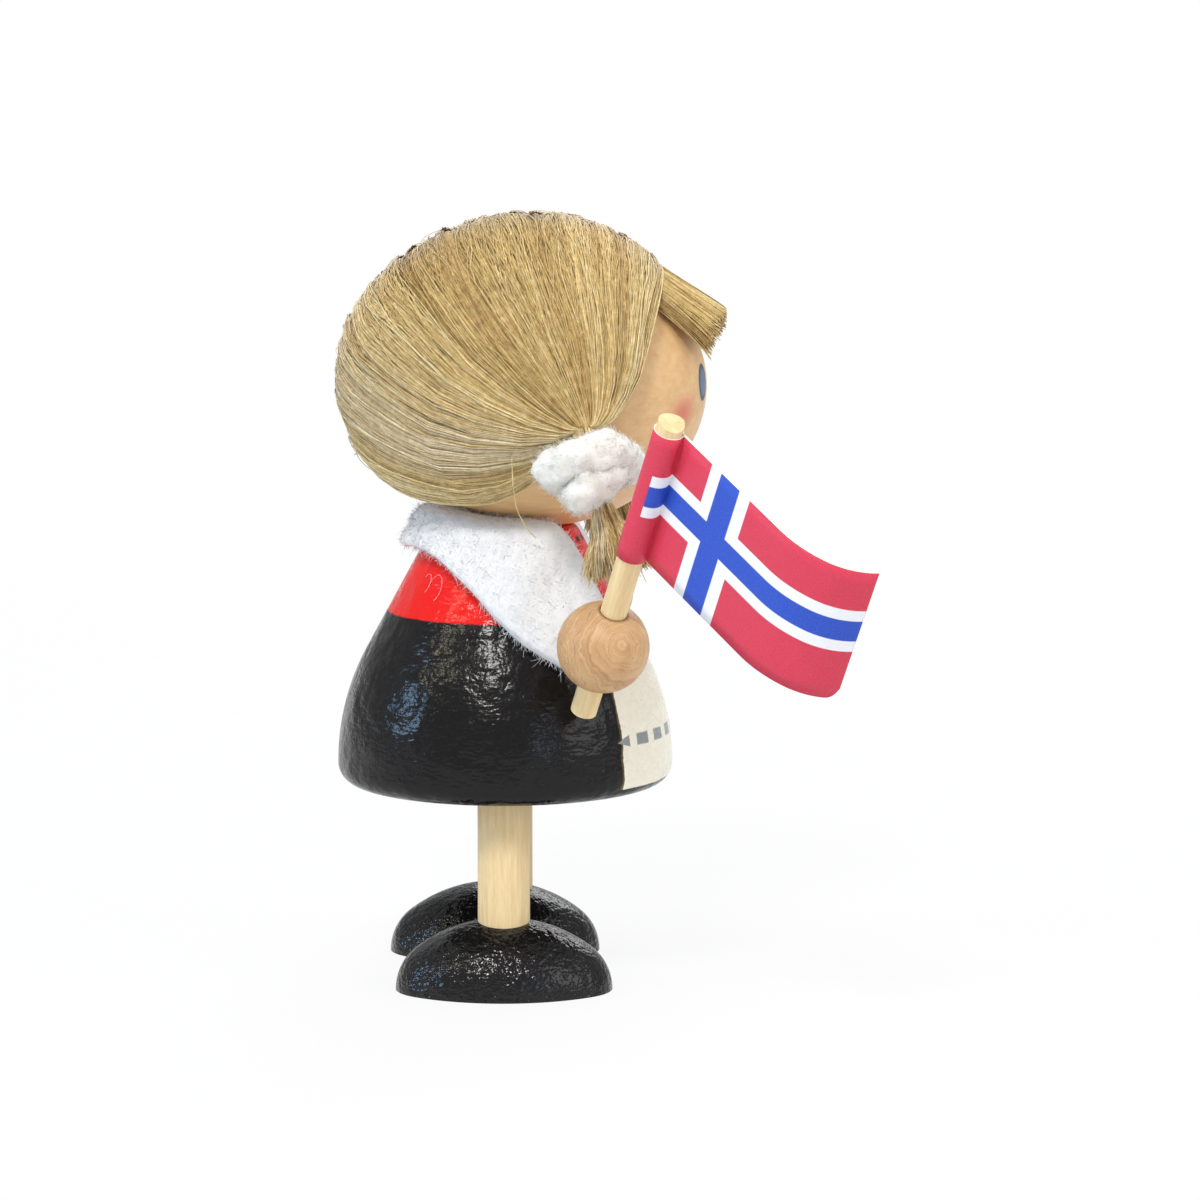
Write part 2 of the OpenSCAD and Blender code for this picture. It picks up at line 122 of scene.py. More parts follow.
def rod_faces(rows, columns):
    """Faces of a closed grid, with one more over each of its ends."""
    ends = [list(range(columns))[::-1], [(rows - 1) * columns + k for k in range(columns)]]
    return grid_faces(rows, columns, closed=True).tolist() + ends


def tubes(paths, radii, sides=3):
    """Points and faces of many thin tubes. paths is strands x points x 3, radii strands x points.

    A tube's sections are turned by the axis of its own bend, or where it is straight, by the axis
    that it runs least along. So they don't twist on the way.
    """
    strands, count, _ = paths.shape
    ahead = np.gradient(paths, axis=1)
    ahead /= np.linalg.norm(ahead, axis=2, keepdims=True) + 1e-9
    bend = np.cross(ahead[:, :count // 2].mean(1), ahead[:, count // 2:].mean(1))
    spare = 0.05 * np.eye(3)[np.abs(ahead.mean(1)).argmin(-1)]
    across = unit(np.cross(ahead, (bend + spare)[:, None]) + 1e-9)
    over = np.cross(across, ahead)
    turn = 2 * np.pi * np.arange(sides) / sides
    ring = (np.cos(turn)[:, None] * across[:, :, None, :]
            + np.sin(turn)[:, None] * over[:, :, None, :])
    points = (paths[:, :, None, :] + radii[:, :, None, None] * ring).reshape(-1, 3)
    base = grid_faces(count, sides, closed=True)
    faces = (base[None] + (np.arange(strands) * count * sides)[:, None, None]).reshape(-1, 4)
    return points, faces


FIBRE_R, FIBRE_TAPER = 0.026, np.array([1, 1, 0.9, 0.7, 0.4])


def add_fibres(name, paths, material, slot):
    """Short fibres of five points each, which taper to their ends."""
    points, faces = tubes(paths, np.full(paths.shape[:2], FIBRE_R) * FIBRE_TAPER)
    return make_mesh(name, points, faces, material, slot)


# ---------------------------------------------------------------- materials
def linear(r, g, b):
    """A colour written as 0 to 255 in the screen's scale, as Blender's own numbers."""
    c = np.array([r, g, b]) / 255
    c = np.where(c <= 0.04045, c / 12.92, ((c + 0.055) / 1.055) ** 2.4)
    return (*c.tolist(), 1.0)


class Material:
    """A material and short ways to add nodes to it."""

    def __init__(self, name, **shader):
        self.data = bpy.data.materials.new(name)
        self.data.use_nodes = True
        self.nodes, self.links = self.data.node_tree.nodes, self.data.node_tree.links
        self.shader = self.nodes["Principled BSDF"]
        for socket, value in shader.items():
            self.shader.inputs[socket.replace("_", " ")].default_value = value

    def put(self, socket, value):
        if isinstance(value, bpy.types.NodeSocket):
            self.links.new(value, socket)
        elif value is not None:
            socket.default_value = value

    def surface(self, socket, value):
        self.put(self.shader.inputs[socket], value)

    def place(self):
        """The point in mm, in the doll's frame at rest."""
        coordinates = self.nodes.new("ShaderNodeTexCoord")
        scale = self.nodes.new("ShaderNodeVectorMath")
        scale.operation = "SCALE"
        self.put(scale.inputs[0], coordinates.outputs["Object"])
        scale.inputs["Scale"].default_value = 1 / MM
        return scale.outputs[0]

    def split(self, vector):
        node = self.nodes.new("ShaderNodeSeparateXYZ")
        self.put(node.inputs[0], vector)
        return node.outputs

    def join(self, x, y, z):
        node = self.nodes.new("ShaderNodeCombineXYZ")
        for socket, value in zip(node.inputs, (x, y, z)):
            self.put(socket, value)
        return node.outputs[0]

    def math(self, operation, *values, clamp=False):
        node = self.nodes.new("ShaderNodeMath")
        node.operation, node.use_clamp = operation, clamp
        for socket, value in zip(node.inputs, values):
            self.put(socket, value)
        return node.outputs[0]

    def times(self, a, b):
        return self.math("MULTIPLY", a, b)

    def plus(self, a, b):
        return self.math("ADD", a, b)

    def minus(self, a, b):
        return self.math("SUBTRACT", a, b)

    def inverse(self, share):
        return self.minus(1.0, share)

    def length(self, a, b):
        return self.math("SQRT", self.plus(self.times(a, a), self.times(b, b)))

    def off_axis(self, place, middle, axis):
        """Distance from the line through middle along axis."""
        side = unit(np.cross(axis, [0, 0, 1]))
        up = np.cross(side, axis)
        return self.length(self.minus(self.dot(place, side), float(middle @ side)),
                           self.minus(self.dot(place, up), float(middle @ up)))

    def dot(self, vector, axis):
        node = self.nodes.new("ShaderNodeVectorMath")
        node.operation = "DOT_PRODUCT"
        self.put(node.inputs[0], vector)
        node.inputs[1].default_value = axis
        return node.outputs["Value"]

    def noise(self, vector, scale, detail=3.0, roughness=0.55):
        node = self.nodes.new("ShaderNodeTexNoise")
        self.put(node.inputs["Vector"], vector)
        node.inputs["Scale"].default_value = scale
        node.inputs["Detail"].default_value = detail
        node.inputs["Roughness"].default_value = roughness
        return node.outputs["Fac"]

    def attribute(self, name, output="Fac"):
        node = self.nodes.new("ShaderNodeAttribute")
        node.attribute_name = name
        return node.outputs[output]

    def step(self, value, low, high):
        """0 below low, 1 above high, and even between them."""
        node = self.nodes.new("ShaderNodeMapRange")
        self.put(node.inputs["Value"], value)
        node.inputs["From Min"].default_value = low
        node.inputs["From Max"].default_value = high
        return node.outputs[0]

    def within(self, value, low, high, soft):
        """1 between low and high, with edges of the given softness."""
        return self.times(self.step(value, low - soft, low + soft),
                          self.inverse(self.step(value, high - soft, high + soft)))

    def mix(self, share, a, b):
        node = self.nodes.new("ShaderNodeMix")
        node.data_type = "RGBA"
        self.put(node.inputs["Factor"], share)
        self.put(node.inputs[6], a)
        self.put(node.inputs[7], b)
        return node.outputs[2]

    def fade(self, colour, share, loss):
        """The colour with up to loss of its saturation taken out, by share."""
        node = self.nodes.new("ShaderNodeHueSaturation")
        self.put(node.inputs["Saturation"], self.inverse(self.times(share, loss)))
        self.put(node.inputs["Color"], colour)
        return node.outputs[0]

    def ramp(self, value, stops):
        node = self.nodes.new("ShaderNodeValToRGB")
        self.put(node.inputs[0], value)
        elements = node.color_ramp.elements
        while len(elements) < len(stops):
            elements.new(0.5)
        for element, (place, colour) in zip(elements, stops):
            element.position, element.color = place, colour
        return node.outputs["Color"]

    def bump(self, height, strength, distance, after=None):
        node = self.nodes.new("ShaderNodeBump")
        self.put(node.inputs["Height"], height)
        node.inputs["Strength"].default_value = strength
        node.inputs["Distance"].default_value = distance * MM
        if after is not None:
            self.put(node.inputs["Normal"], after)
        return node.outputs[0]


PALE_WOOD, DARK_WOOD = linear(238, 214, 166), linear(216, 180, 124)


def wood(name, axis, roughness, grain=1.0):
    """Bare wood whose grain runs along axis. grain is how strong the dark lines are."""
    m = Material(name)
    place = m.place()
    axis = unit(axis)
    side = unit(np.cross(axis, [0.31, 0.87, 0.21]))
    up = np.cross(axis, side)
    run = m.times(m.dot(place, axis), 0.09)
    lines = m.join(m.dot(place, side), m.dot(place, up), run)
    coarse = m.noise(lines, 1.6, 4.0, 0.6)
    fine = m.noise(lines, 7.5, 3.0, 0.7)
    share = m.plus(m.times(coarse, 0.65), m.times(fine, 0.35))
    dark_lines = m.times(m.step(share, 0.38, 0.66), grain)
    m.surface("Base Color", m.mix(dark_lines, PALE_WOOD, DARK_WOOD))
    m.surface("Roughness", m.plus(roughness, m.times(fine, 0.15)))
    m.surface("Normal", m.bump(fine, 0.35, 0.06))
    return m.data


def gloss_paint(m, place, colour, relief, stretch, roughness):
    """Brushed gloss paint over turned wood: streaks of the brush, specks and a soft unevenness.

    relief is how deep the streaks are in mm, and a small stretch makes them long and level.
    """
    x, y, z = m.split(place)
    streaks = m.noise(m.join(m.times(x, stretch), m.times(y, stretch), z), 2.3, 1.0, 0.4)
    specks = m.noise(place, 2.6, 1.0, 0.4)
    height = m.plus(m.times(streaks, 0.6), m.times(specks, 0.4))
    swell = m.bump(m.noise(place, 0.22, 2.0), 1.0, 0.55)
    m.surface("Base Color", colour)
    m.surface("Roughness", m.plus(roughness, m.times(specks, 0.16)))
    m.surface("Normal", m.bump(height, 1.0, relief, swell))
    return m.data


BLACK = linear(20, 18, 18)
RED_PAINT = linear(226, 26, 20)
CREAM = linear(249, 243, 225)


def body_material():
    """Red bodice over a black skirt, and a cream apron with a border of small grey blocks."""
    waist, apron_foot, apron_half = 42.7, 23.7, 45.0
    border_z, border_h, block_w, block_pitch, last_block = 29.2, 1.35, 7.0, 11.2, 33.6
    wedge_from, wedge_to = 41.0, 47.0
    m = Material("painted_body", Specular_IOR_Level=0.26)
    place = m.place()
    x, y, z = m.split(place)
    wobble = m.times(m.minus(m.noise(place, 0.55, 2.0), 0.5), 0.9)
    angle = m.math("DEGREES", m.math("ARCTAN2", x, m.times(y, -1.0)))
    side = m.plus(m.math("ABSOLUTE", angle), m.times(wobble, 2.4))
    height = m.plus(z, m.times(wobble, 0.3))
    skirt = m.mix(m.step(height, waist - 0.08, waist + 0.08), BLACK, RED_PAINT)
    low = m.within(height, apron_foot, waist, 0.06)
    ochre = m.times(low, m.within(side, apron_half - 0.2, apron_half + 0.8, 0.2))
    skirt = m.mix(ochre, skirt, linear(96, 76, 46))
    mottled = m.mix(m.noise(place, 1.4, 4.0), CREAM, linear(236, 228, 208))
    apron = m.times(low, m.inverse(m.step(side, apron_half - 0.3, apron_half)))
    skirt = m.mix(apron, skirt, mottled)
    off = m.math("ABSOLUTE", angle)
    nearest = m.times(m.math("ROUND", m.math("DIVIDE", off, block_pitch)), block_pitch)
    gap = m.math("ABSOLUTE", m.minus(off, nearest))
    block = m.inverse(m.step(gap, block_w / 2 - 0.3, block_w / 2 + 0.3))
    block = m.times(block, m.math("LESS_THAN", nearest, last_block + 1))
    block = m.times(block, m.within(height, border_z - border_h / 2, border_z + border_h / 2, 0.07))
    taper = m.times(m.math("DIVIDE", m.minus(wedge_to, off), wedge_to - wedge_from), border_h / 2)
    rise = m.math("ABSOLUTE", m.minus(height, border_z))
    wedge = m.times(m.within(off, wedge_from, wedge_to, 0.1), m.math("LESS_THAN", rise, taper))
    skirt = m.mix(m.math("MAXIMUM", block, wedge), skirt, linear(142, 148, 147))
    dashes = m.math("GREATER_THAN", m.math("SINE", m.times(angle, 0.55)), -0.2)
    neckline = m.times(m.within(height, 50.9, 51.5, 0.08), m.math("LESS_THAN", side, 78.0))
    skirt = m.mix(m.times(neckline, dashes), skirt, BLACK)
    return gloss_paint(m, place, skirt, relief=0.11, stretch=0.35, roughness=0.12)


def shoe_material():
    m = Material("painted_shoe", Specular_IOR_Level=0.36)
    return gloss_paint(m, m.place(), BLACK, relief=0.26, stretch=0.5, roughness=0.08)


def head_material():
    """Varnished pale wood with painted eyes, cheeks and a small mouth."""
    eye_x, eye_z, eye_half_w, eye_half_h = 3.5, 69.4, 1.65, 2.25
    cheek, cheek_r = (7.9, 66.3), 2.6
    mouth_z, mouth_half_w = 63.2, 1.7
    m = Material("head_wood", Coat_Weight=0.15, Coat_Roughness=0.35)
    place = m.place()
    x, y, z = m.split(place)
    wide = m.math("ABSOLUTE", x)
    front = m.math("LESS_THAN", y, -8.0)
    grain = m.noise(m.join(x, m.times(y, 0.15), z), 1.1, 5.0, 0.6)
    fine = m.noise(place, 7.0, 2.0)
    skin = m.mix(m.step(grain, 0.35, 0.7), linear(229, 190, 137), linear(216, 172, 118))

    def from_middle(cx, cz, half_w, half_h):
        return m.length(m.math("DIVIDE", m.minus(wide, cx), half_w),
                        m.math("DIVIDE", m.minus(z, cz), half_h))

    def painted(skin, share, colour):
        """The face is painted on the front alone."""
        return m.mix(m.times(share, front), skin, colour)

    blush = m.inverse(m.step(from_middle(*cheek, cheek_r, cheek_r), 0.1, 1.0))
    skin = painted(skin, m.times(blush, 0.75), linear(214, 92, 84))
    eye = from_middle(eye_x, eye_z, eye_half_w, eye_half_h)
    skin = painted(skin, m.inverse(m.step(eye, 0.92, 1.0)), linear(38, 52, 78))
    # the eye's paint is dark at its rim; its lighter middle is partly painted highlight
    skin = painted(skin, m.inverse(m.step(eye, 0.60, 0.76)), linear(84, 108, 136))
    curve = m.times(m.math("POWER", m.math("DIVIDE", wide, mouth_half_w), 2.0), 0.55)
    line = m.math("ABSOLUTE", m.minus(m.minus(z, mouth_z), curve))
    mouth = m.times(m.inverse(m.step(line, 0.18, 0.28)), m.math("LESS_THAN", wide, mouth_half_w))
    skin = painted(skin, mouth, linear(196, 52, 50))
    m.surface("Base Color", skin)
    m.surface("Roughness", m.plus(0.38, m.times(fine, 0.2)))
    m.surface("Normal", m.bump(fine, 0.2, 0.04))
    return m.data


def flax_material(name, darker=1.0):
    """Flax: the tone attribute goes from dark, painted shade of a gap, to pale straw."""
    m = Material(name, Roughness=0.55, Specular_IOR_Level=0.35)
    place = m.place()
    tone = m.attribute("tone")
    mottling = m.plus(m.noise(place, 1.3, 3.0), m.times(m.noise(place, 4.5, 2.0), 0.6))
    speck = m.times(m.minus(mottling, 0.8), 0.75)
    shades = [(0.0, (126, 98, 58)), (0.3, (164, 132, 80)), (0.55, (198, 168, 108)),
              (0.8, (218, 192, 134)), (1.0, (236, 218, 170))]
    stops = [(p, tuple(darker * c for c in linear(*rgb)[:3]) + (1.0,)) for p, rgb in shades]
    straw = m.ramp(m.math("ADD", tone, speck, clamp=True), stops)
    # the grey attribute takes colour out of the straw: painted sheen along the parting
    m.surface("Base Color", m.fade(straw, m.attribute("grey"), 0.42))
    return m.data


def fluff_material(name, colour, shade):
    m = Material(name, Roughness=0.9, Sheen_Weight=0.4, Sheen_Roughness=0.6, Specular_IOR_Level=0.15)
    place = m.place()
    coarse = m.noise(place, 0.9, 4.0)
    fine = m.noise(place, 6.0, 4.0, 0.7)
    m.surface("Base Color", m.mix(m.step(coarse, 0.35, 0.75), colour, shade))
    m.surface("Normal", m.bump(m.plus(fine, m.times(coarse, 0.5)), 0.7, 0.16))
    return m.data


# The printed cross: the upright bar's edges in mm from the crease, and the level bar's as shares of
# the flag's height. The level bar starts in the paper round the pole, in mm before the crease.
UPRIGHT = (5.3, 6.98, 10.3, 12.1)
LEVEL = (0.376, 0.458, 0.617, 0.699)
LEVEL_START = 2.75


def flag_material():
    """A red flag with a blue cross edged in white, printed on paper."""
    m = Material("flag_print", Roughness=0.5, Specular_IOR_Level=0.3)
    place = m.place()
    along, up, _ = m.split(m.attribute("flat", "Vector"))
    share = m.math("DIVIDE", up, FLAG_H)
    soft, soft_share = 0.04, 0.0025
    printed = m.math("GREATER_THAN", along, -LEVEL_START)

    def cross(first, last):
        """The cross from one to another of the edges that both of its bars have."""
        level = m.times(m.within(share, LEVEL[first], LEVEL[last], soft_share), printed)
        return m.math("MAXIMUM", m.within(along, UPRIGHT[first], UPRIGHT[last], soft), level)

    white, blue = cross(0, 3), cross(1, 2)
    ink = m.step(m.noise(place, 6.5, 2.0, 0.8), 0.3, 0.7)
    colour = m.mix(ink, linear(206, 52, 76), linear(220, 70, 94))
    colour = m.mix(white, colour, m.mix(ink, linear(233, 234, 240), linear(245, 245, 248)))
    colour = m.mix(blue, colour, m.mix(ink, linear(36, 72, 184), linear(54, 92, 200)))
    m.surface("Base Color", colour)
    m.surface("Normal", m.bump(ink, 0.2, 0.012))
    return m.data


def paper_material():
    """The bare side and the cut edges of the flag's paper."""
    m = Material("paper_white", Roughness=0.75, Specular_IOR_Level=0.25)
    fibres = m.noise(m.place(), 4.0, 4.0, 0.7)
    m.surface("Base Color", m.mix(fibres, linear(246, 243, 236), linear(232, 226, 214)))
    m.surface("Normal", m.bump(fibres, 0.4, 0.02))
    return m.data


def bead_material():
    """A turned bead: rings of end grain round an axis that points out at the side."""
    m = Material("bead_wood", Roughness=0.42, Specular_IOR_Level=0.35)
    x, y, z = m.split(m.place())
    place = m.join(m.times(m.math("ABSOLUTE", x), -1.0), y, z)
    rings_at = HAND + [0, -1.4, -0.8]
    uneven = m.times(m.noise(place, 0.5, 3.0), 1.6)
    out = m.plus(m.off_axis(place, rings_at, unit([-1.0, -0.15, 0.35])), uneven)
    rings = m.noise(m.join(m.times(out, 4.6), m.times(out, 0.7), 0.0), 1.5, 3.0, 0.6)
    fine = m.noise(place, 6.0, 3.0, 0.7)
    clouds = m.noise(place, 0.35, 3.0)
    share = m.plus(m.times(m.step(rings, 0.34, 0.68), 0.5), m.times(fine, 0.4))
    share = m.plus(share, m.times(m.step(clouds, 0.35, 0.65), 0.3))
    turned = m.mix(share, linear(230, 193, 146), linear(174, 128, 84))
    # the torn and darker rim of the hole for the stick
    from_stick = m.plus(m.off_axis(place, HAND, POLE_AXIS), m.times(fine, 0.5))
    rim = m.inverse(m.step(from_stick, 1.85, 2.2))
    m.surface("Base Color", m.mix(rim, turned, linear(132, 88, 52)))
    m.surface("Normal", m.bump(fine, 0.5, 0.02))
    return m.data


# ---------------------------------------------------------------- the head's own frame
DIP = math.radians(HEAD_DIP)
FORWARD = np.array([0, -math.cos(DIP), -math.sin(DIP)])
UPWARD = np.array([0, -math.sin(DIP), math.cos(DIP)])
HEAD_MIDDLE = np.array([0, -HEAD_FORWARD, HEAD_Z])


def out_of_head(p):
    """From [sideways, up, forward] in the head's frame to the doll's frame."""
    p = np.asarray(p, float)
    return HEAD_MIDDLE + p[..., :1] * [1, 0, 0] + p[..., 1:2] * UPWARD + p[..., 2:] * FORWARD


END_Y = HEAD_L / 2 - HEAD_END_R
SIDE_R = (END_Y ** 2 + (HEAD_D / 2) ** 2 - HEAD_END_R ** 2) / (2 * (HEAD_D / 2 - HEAD_END_R))
JUNCTION = math.degrees(math.atan2(SIDE_R - HEAD_D / 2, END_Y))


def on_head(n, t):
    """Places on the head's form, grown by t, where its surface faces the directions n."""
    turn = np.degrees(np.arccos(np.clip(n[..., 2], -1, 1)))
    around = np.arctan2(n[..., 0], n[..., 1])
    cap = (turn < JUNCTION) | (turn > 180 - JUNCTION)
    end = np.where(turn < 90, END_Y, -END_Y)
    w = np.where(cap, (HEAD_END_R + t) * sind(turn),
                 (SIDE_R + t) * sind(turn) - (SIDE_R - HEAD_D / 2))
    a = np.where(cap, end + (HEAD_END_R + t) * cosd(turn), (SIDE_R + t) * cosd(turn))
    return np.stack([w * np.sin(around), w * np.cos(around), a], -1)


def between(a, b, v):
    """The direction at share v of the turn from direction a to direction b."""
    whole = np.arccos(np.clip((a * b).sum(-1, keepdims=True), -1, 1))
    return (a * np.sin((1 - v) * whole) + b * np.sin(v * whole)) / np.sin(whole)


EDGE_T = 0.75 * WIG_T
PARTING_FRONT = math.degrees(math.acos(HAIRLINE / (SIDE_R + EDGE_T)))
TIE_TURN, TIE_ROUND, TIE_ROOM = 70.0, 121.0, 1.3
TIE_DIR = np.array([-sind(TIE_TURN) * sind(TIE_ROUND), sind(TIE_TURN) * cosd(TIE_ROUND),
                    cosd(TIE_TURN)])
YARN_RING_R = TAIL_ROOT_R + 2 * SOFT_GAP + YARN_D / 2
TIE_MIDDLE = on_head(TIE_DIR, 0) - [YARN_RING_R + YARN_D / 2 + TIE_ROOM, 0, 0]
HANG = unit([-math.tan(math.radians(TAIL_OUT)), -1, math.tan(math.radians(TAIL_FORWARD + HEAD_DIP))])
HANG_FRONT = unit(np.cross(HANG, [1, 0, 0]))
HANG_SIDE = np.cross(HANG, HANG_FRONT)
EDGE_REACH, GATHER_FROM, GATHER_TURN, RING_OPEN = 0.09, 0.62, 0.93, 8.0
BROW_BACK, NAPE_LIFT, WIG_GAP = 0.29, 0.2, 0.35
YARN_CLIMB = 1.06 * YARN_D
TAIL_START = YARN_CLIMB * (180 + YARN_CROSS) / 360 + YARN_D / 2 + 3 * SOFT_GAP


def past_tie(s, most=1.0):
    """0 where the pigtail leaves the tie, and 1 at its cut end."""
    return np.clip((s - TAIL_START) / (TAIL_L - TAIL_START), 0, most)


def hair_place(u, v, s, depth, thick):
    """Places of hair in the head's frame, on the right side.

    u goes from the forehead, 0, to the nape, 1. v goes from the parting, 0, to the tie, 1, and
    s is then the distance past the tie's middle. depth is 0 against the head and 1 outside.
    """
    start = PARTING_FRONT + u * (PARTING_NAPE - PARTING_FRONT)
    root = np.stack([np.zeros_like(start), sind(start), cosd(start)], -1)
    t = WIG_GAP + depth * (thick - WIG_GAP)
    stray = sind(180 * v)[..., None] * np.stack(
        [np.zeros_like(u), NAPE_LIFT * u * u, -BROW_BACK * (1 - u) ** 2], -1)
    way = unit(between(root, TIE_DIR, GATHER_TURN * v[..., None]) + stray)
    ring = RING_OPEN + (180 - 2 * RING_OPEN) * u
    r = TAIL_ROOT_R + (TAIL_END_R - TAIL_ROOT_R) * past_tie(s, 1.2) ** 0.8
    bunch = TIE_MIDDLE + s[..., None] * HANG + r[..., None] * (
        cosd(ring)[..., None] * HANG_FRONT + ((2 * depth - 1) * sind(ring))[..., None] * HANG_SIDE)
    lift = smooth((v - GATHER_FROM) / (1 - GATHER_FROM))[..., None]
    return (1 - lift) * on_head(way, t) + lift * bunch


def hair_thickness(u, v, stitches=34, pinch=0.13):
    """Thickness of the wig, thin at its edges and pinched by the stitches of the parting."""
    edge = np.minimum(WIG_T, EDGE_T + (WIG_T - EDGE_T) * np.minimum(u, 1 - u) / EDGE_REACH)
    near = np.exp(-(v / 0.045) ** 2)
    return edge * (1 - pinch * near * np.abs(np.cos(math.pi * u * stitches)) ** 4)


def mirrored(points):
    return points * [-1, 1, 1]


# ---------------------------------------------------------------- hair
HEAD_ROWS, TAIL_ROWS = 15, 7
STRAND_R = (0.05, 0.095)   # the thinnest and the thickest strand


def strand_stations():
    """v and s along a strand, from the parting to the cut end."""
    v = np.concatenate([np.linspace(0, 1, HEAD_ROWS), np.ones(TAIL_ROWS)])
    tail = np.linspace(-TAIL_START / 2, TAIL_L, TAIL_ROWS)
    return v, np.concatenate([np.full(HEAD_ROWS, -TAIL_START), tail])


def lock_noise(rng, u, count, sharpness=1.0):
    """A value from -1 to 1 that is alike for strands of the same lock."""
    knots = rng.uniform(-1, 1, count + 2)
    place = u * count
    i = np.floor(place).astype(int)
    f = smooth(np.clip((place - i - 0.5) * sharpness + 0.5, 0, 1))
    return knots[i] * (1 - f) + knots[i + 1] * f


def hair_grey(u, v):
    """How much the flax is greyed: painted sheen along the parting, and greyer towards the nape too."""
    back = 0.7 * smooth((u - 0.45) / 0.35) * (1 - 0.9 * smooth((u - 0.7) / 0.2))
    return np.clip(np.exp(-(v / 0.13) ** 2) + back, 0, 1)


def hair_strands(name, left, strands=2900):
    """The loose strands of one side, from the parting through the tie to the cut end."""
    rng = random_for(name)
    v, s = strand_stations()
    u = np.sort(rng.uniform(0, 1, strands))
    lock = lock_noise(rng, u, 90, 2.0)
    small = lock_noise(rng, u, 330, 2.0)
    depth = np.clip(0.88 + 0.10 * lock + 0.06 * small + rng.normal(0, 0.05, strands), 0.45, 1.09)
    wander = rng.normal(0, 0.006, (strands, 3))
    sway = (wander[:, :1] * np.sin(math.pi * v) + wander[:, 1:2] * np.sin(2 * math.pi * v)
            + wander[:, 2:] * np.sin(3 * math.pi * v))
    crimp, phase = rng.normal(0, 0.0016, (strands, 1)), rng.uniform(0, 6, (strands, 1))
    sway += crimp * np.sin(9 * math.pi * v + phase)
    uu = np.clip(u[:, None] + sway, 0, 1)
    vv = np.broadcast_to(v, uu.shape)
    cut = rng.uniform(0.86, 1.04, strands)
    ss = np.where(s > 0, s * cut[:, None], s)
    tail = past_tie(ss)
    dd = depth[:, None] * (1 - tail) + rng.uniform(0, 1, (strands, 1)) * tail
    points = hair_place(uu, vv, ss, dd, hair_thickness(uu, vv))
    frizz = rng.normal(0, 0.5, (strands, 1, 3)) * tail[..., None] ** 1.5
    size, rate = rng.normal(0, 0.13, (strands, 1, 3)), rng.uniform(0.8, 2.0, (strands, 1))
    wave = size * np.sin(ss * rate)[..., None]
    points = points + frizz + wave * (tail[..., None] > 0)
    if left:
        points = mirrored(points)
    thin = np.ones_like(vv)
    thin[:, -1] = 0.45
    radii = rng.uniform(*STRAND_R, (strands, 1)) * thin
    shape, faces = tubes(out_of_head(points), radii)
    uneven = 0.13 * lock + 0.11 * small + rng.normal(0, 0.12, strands)
    gathered = smooth((vv - 0.55) / 0.4)
    patches = 0.05 * lock_noise(rng, u, 9)[:, None] * np.sin(5 * vv + 9 * uu)
    # darker towards the tie, where the strands gather, as painted shade of the gaps there; lighter at
    # the brow and the nape, a little darker at the parting
    tone = 0.61 + uneven[:, None] * (1 + 0.35 * gathered) - 0.03 * gathered + patches
    brow, nape = np.exp(-(uu / 0.12) ** 2), smooth((uu - 0.75) / 0.2)
    tone += 0.13 * brow + 0.13 * nape - 0.06 * np.exp(-(vv / 0.12) ** 2)
    return make_mesh(name, shape, faces, flax, "flax", tone=np.repeat(np.clip(tone, 0, 1), 3),
                     grey=np.repeat(hair_grey(uu, vv), 3))


def wig_base(name, columns=420):
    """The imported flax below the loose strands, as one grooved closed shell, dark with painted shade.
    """
    rng = random_for(name)
    v, s = strand_stations()
    half = len(v)
    u = np.linspace(0, 1, columns)
    ridge = lock_noise(rng, u, 200, 2.0)
    uu, vv = np.meshgrid(u, v, indexing="ij")
    near_edge = np.exp(-(uu / 0.07) ** 2) + np.exp(-(vv / 0.1) ** 2)
    # dark tone as painted shade between the strands, lighter near the brow and the parting
    tone = 0.3 + (0.14 * ridge + rng.normal(0, 0.05, columns))[:, None] + 0.16 * near_edge
    ss = np.broadcast_to(s, uu.shape)
    keep = 1 - 0.35 * past_tie(ss)
    outer_depth = (0.84 + 0.05 * ridge)[:, None] * np.where(vv < 1, 1, keep)
    shells = []
    for depth in (outer_depth, np.where(vv < 1, 0.0, 1 - outer_depth)):
        right = hair_place(uu, vv, ss, depth, hair_thickness(uu, vv))
        shells.append(np.concatenate([mirrored(right[:, ::-1]), right[:, 1:]], axis=1))
    # each shell has m points from one cut end to the other, and n points in all
    m = 2 * half - 1
    points = np.concatenate([shell.reshape(-1, 3) for shell in shells])
    outer = grid_faces(columns, m)
    inner = grid_faces(columns, m, start=columns * m)[:, ::-1]
    last = (columns - 1) * m
    j = np.arange(m - 1)
    n = columns * m
    brow = np.stack([n + j, n + j + 1, j + 1, j], -1)
    nape = np.stack([last + j, last + j + 1, n + last + j + 1, n + last + j], -1)
    i = np.arange(columns - 1) * m
    ends = np.concatenate([
        np.stack([i, i + m, n + i + m, n + i], -1),
        np.stack([n + i + m - 1, n + i + 2 * m - 1, i + 2 * m - 1, i + m - 1], -1)])
    faces = np.concatenate([outer, inner, brow, nape, ends])
    tones = np.tile(np.clip(np.concatenate([tone[:, ::-1], tone[:, 1:]], axis=1), 0, 1).ravel(), 2)
    return make_mesh(name, out_of_head(points), faces, flax_painted_shade, "flax", tone=tones)


FRINGE_ROOT = HAIRLINE + FRINGE_GAP


def fringe_place(x, f, under, spread=0.0, longer=0.0):
    """Places of the fringe: x across it, f from its root, 0, to its round cut end, 1."""
    root_r = on_head(np.array([0, sind(PARTING_FRONT), cosd(PARTING_FRONT)]), EDGE_T)[1]
    reach = FRINGE_L * cosd(FRINGE_DROOP) - (FRINGE_CUT_R - np.sqrt(FRINGE_CUT_R ** 2 - x ** 2))
    along = (reach + longer) * f
    r = root_r - 0.12 - under / cosd(FRINGE_DROOP) - along * math.tan(math.radians(FRINGE_DROOP))
    x = x + spread * f
    forward = FRINGE_ROOT + along - 0.7 * (1 - f)
    return np.stack([x + 0 * along, np.sqrt(np.maximum(r ** 2 - x ** 2, 1)), forward], -1)


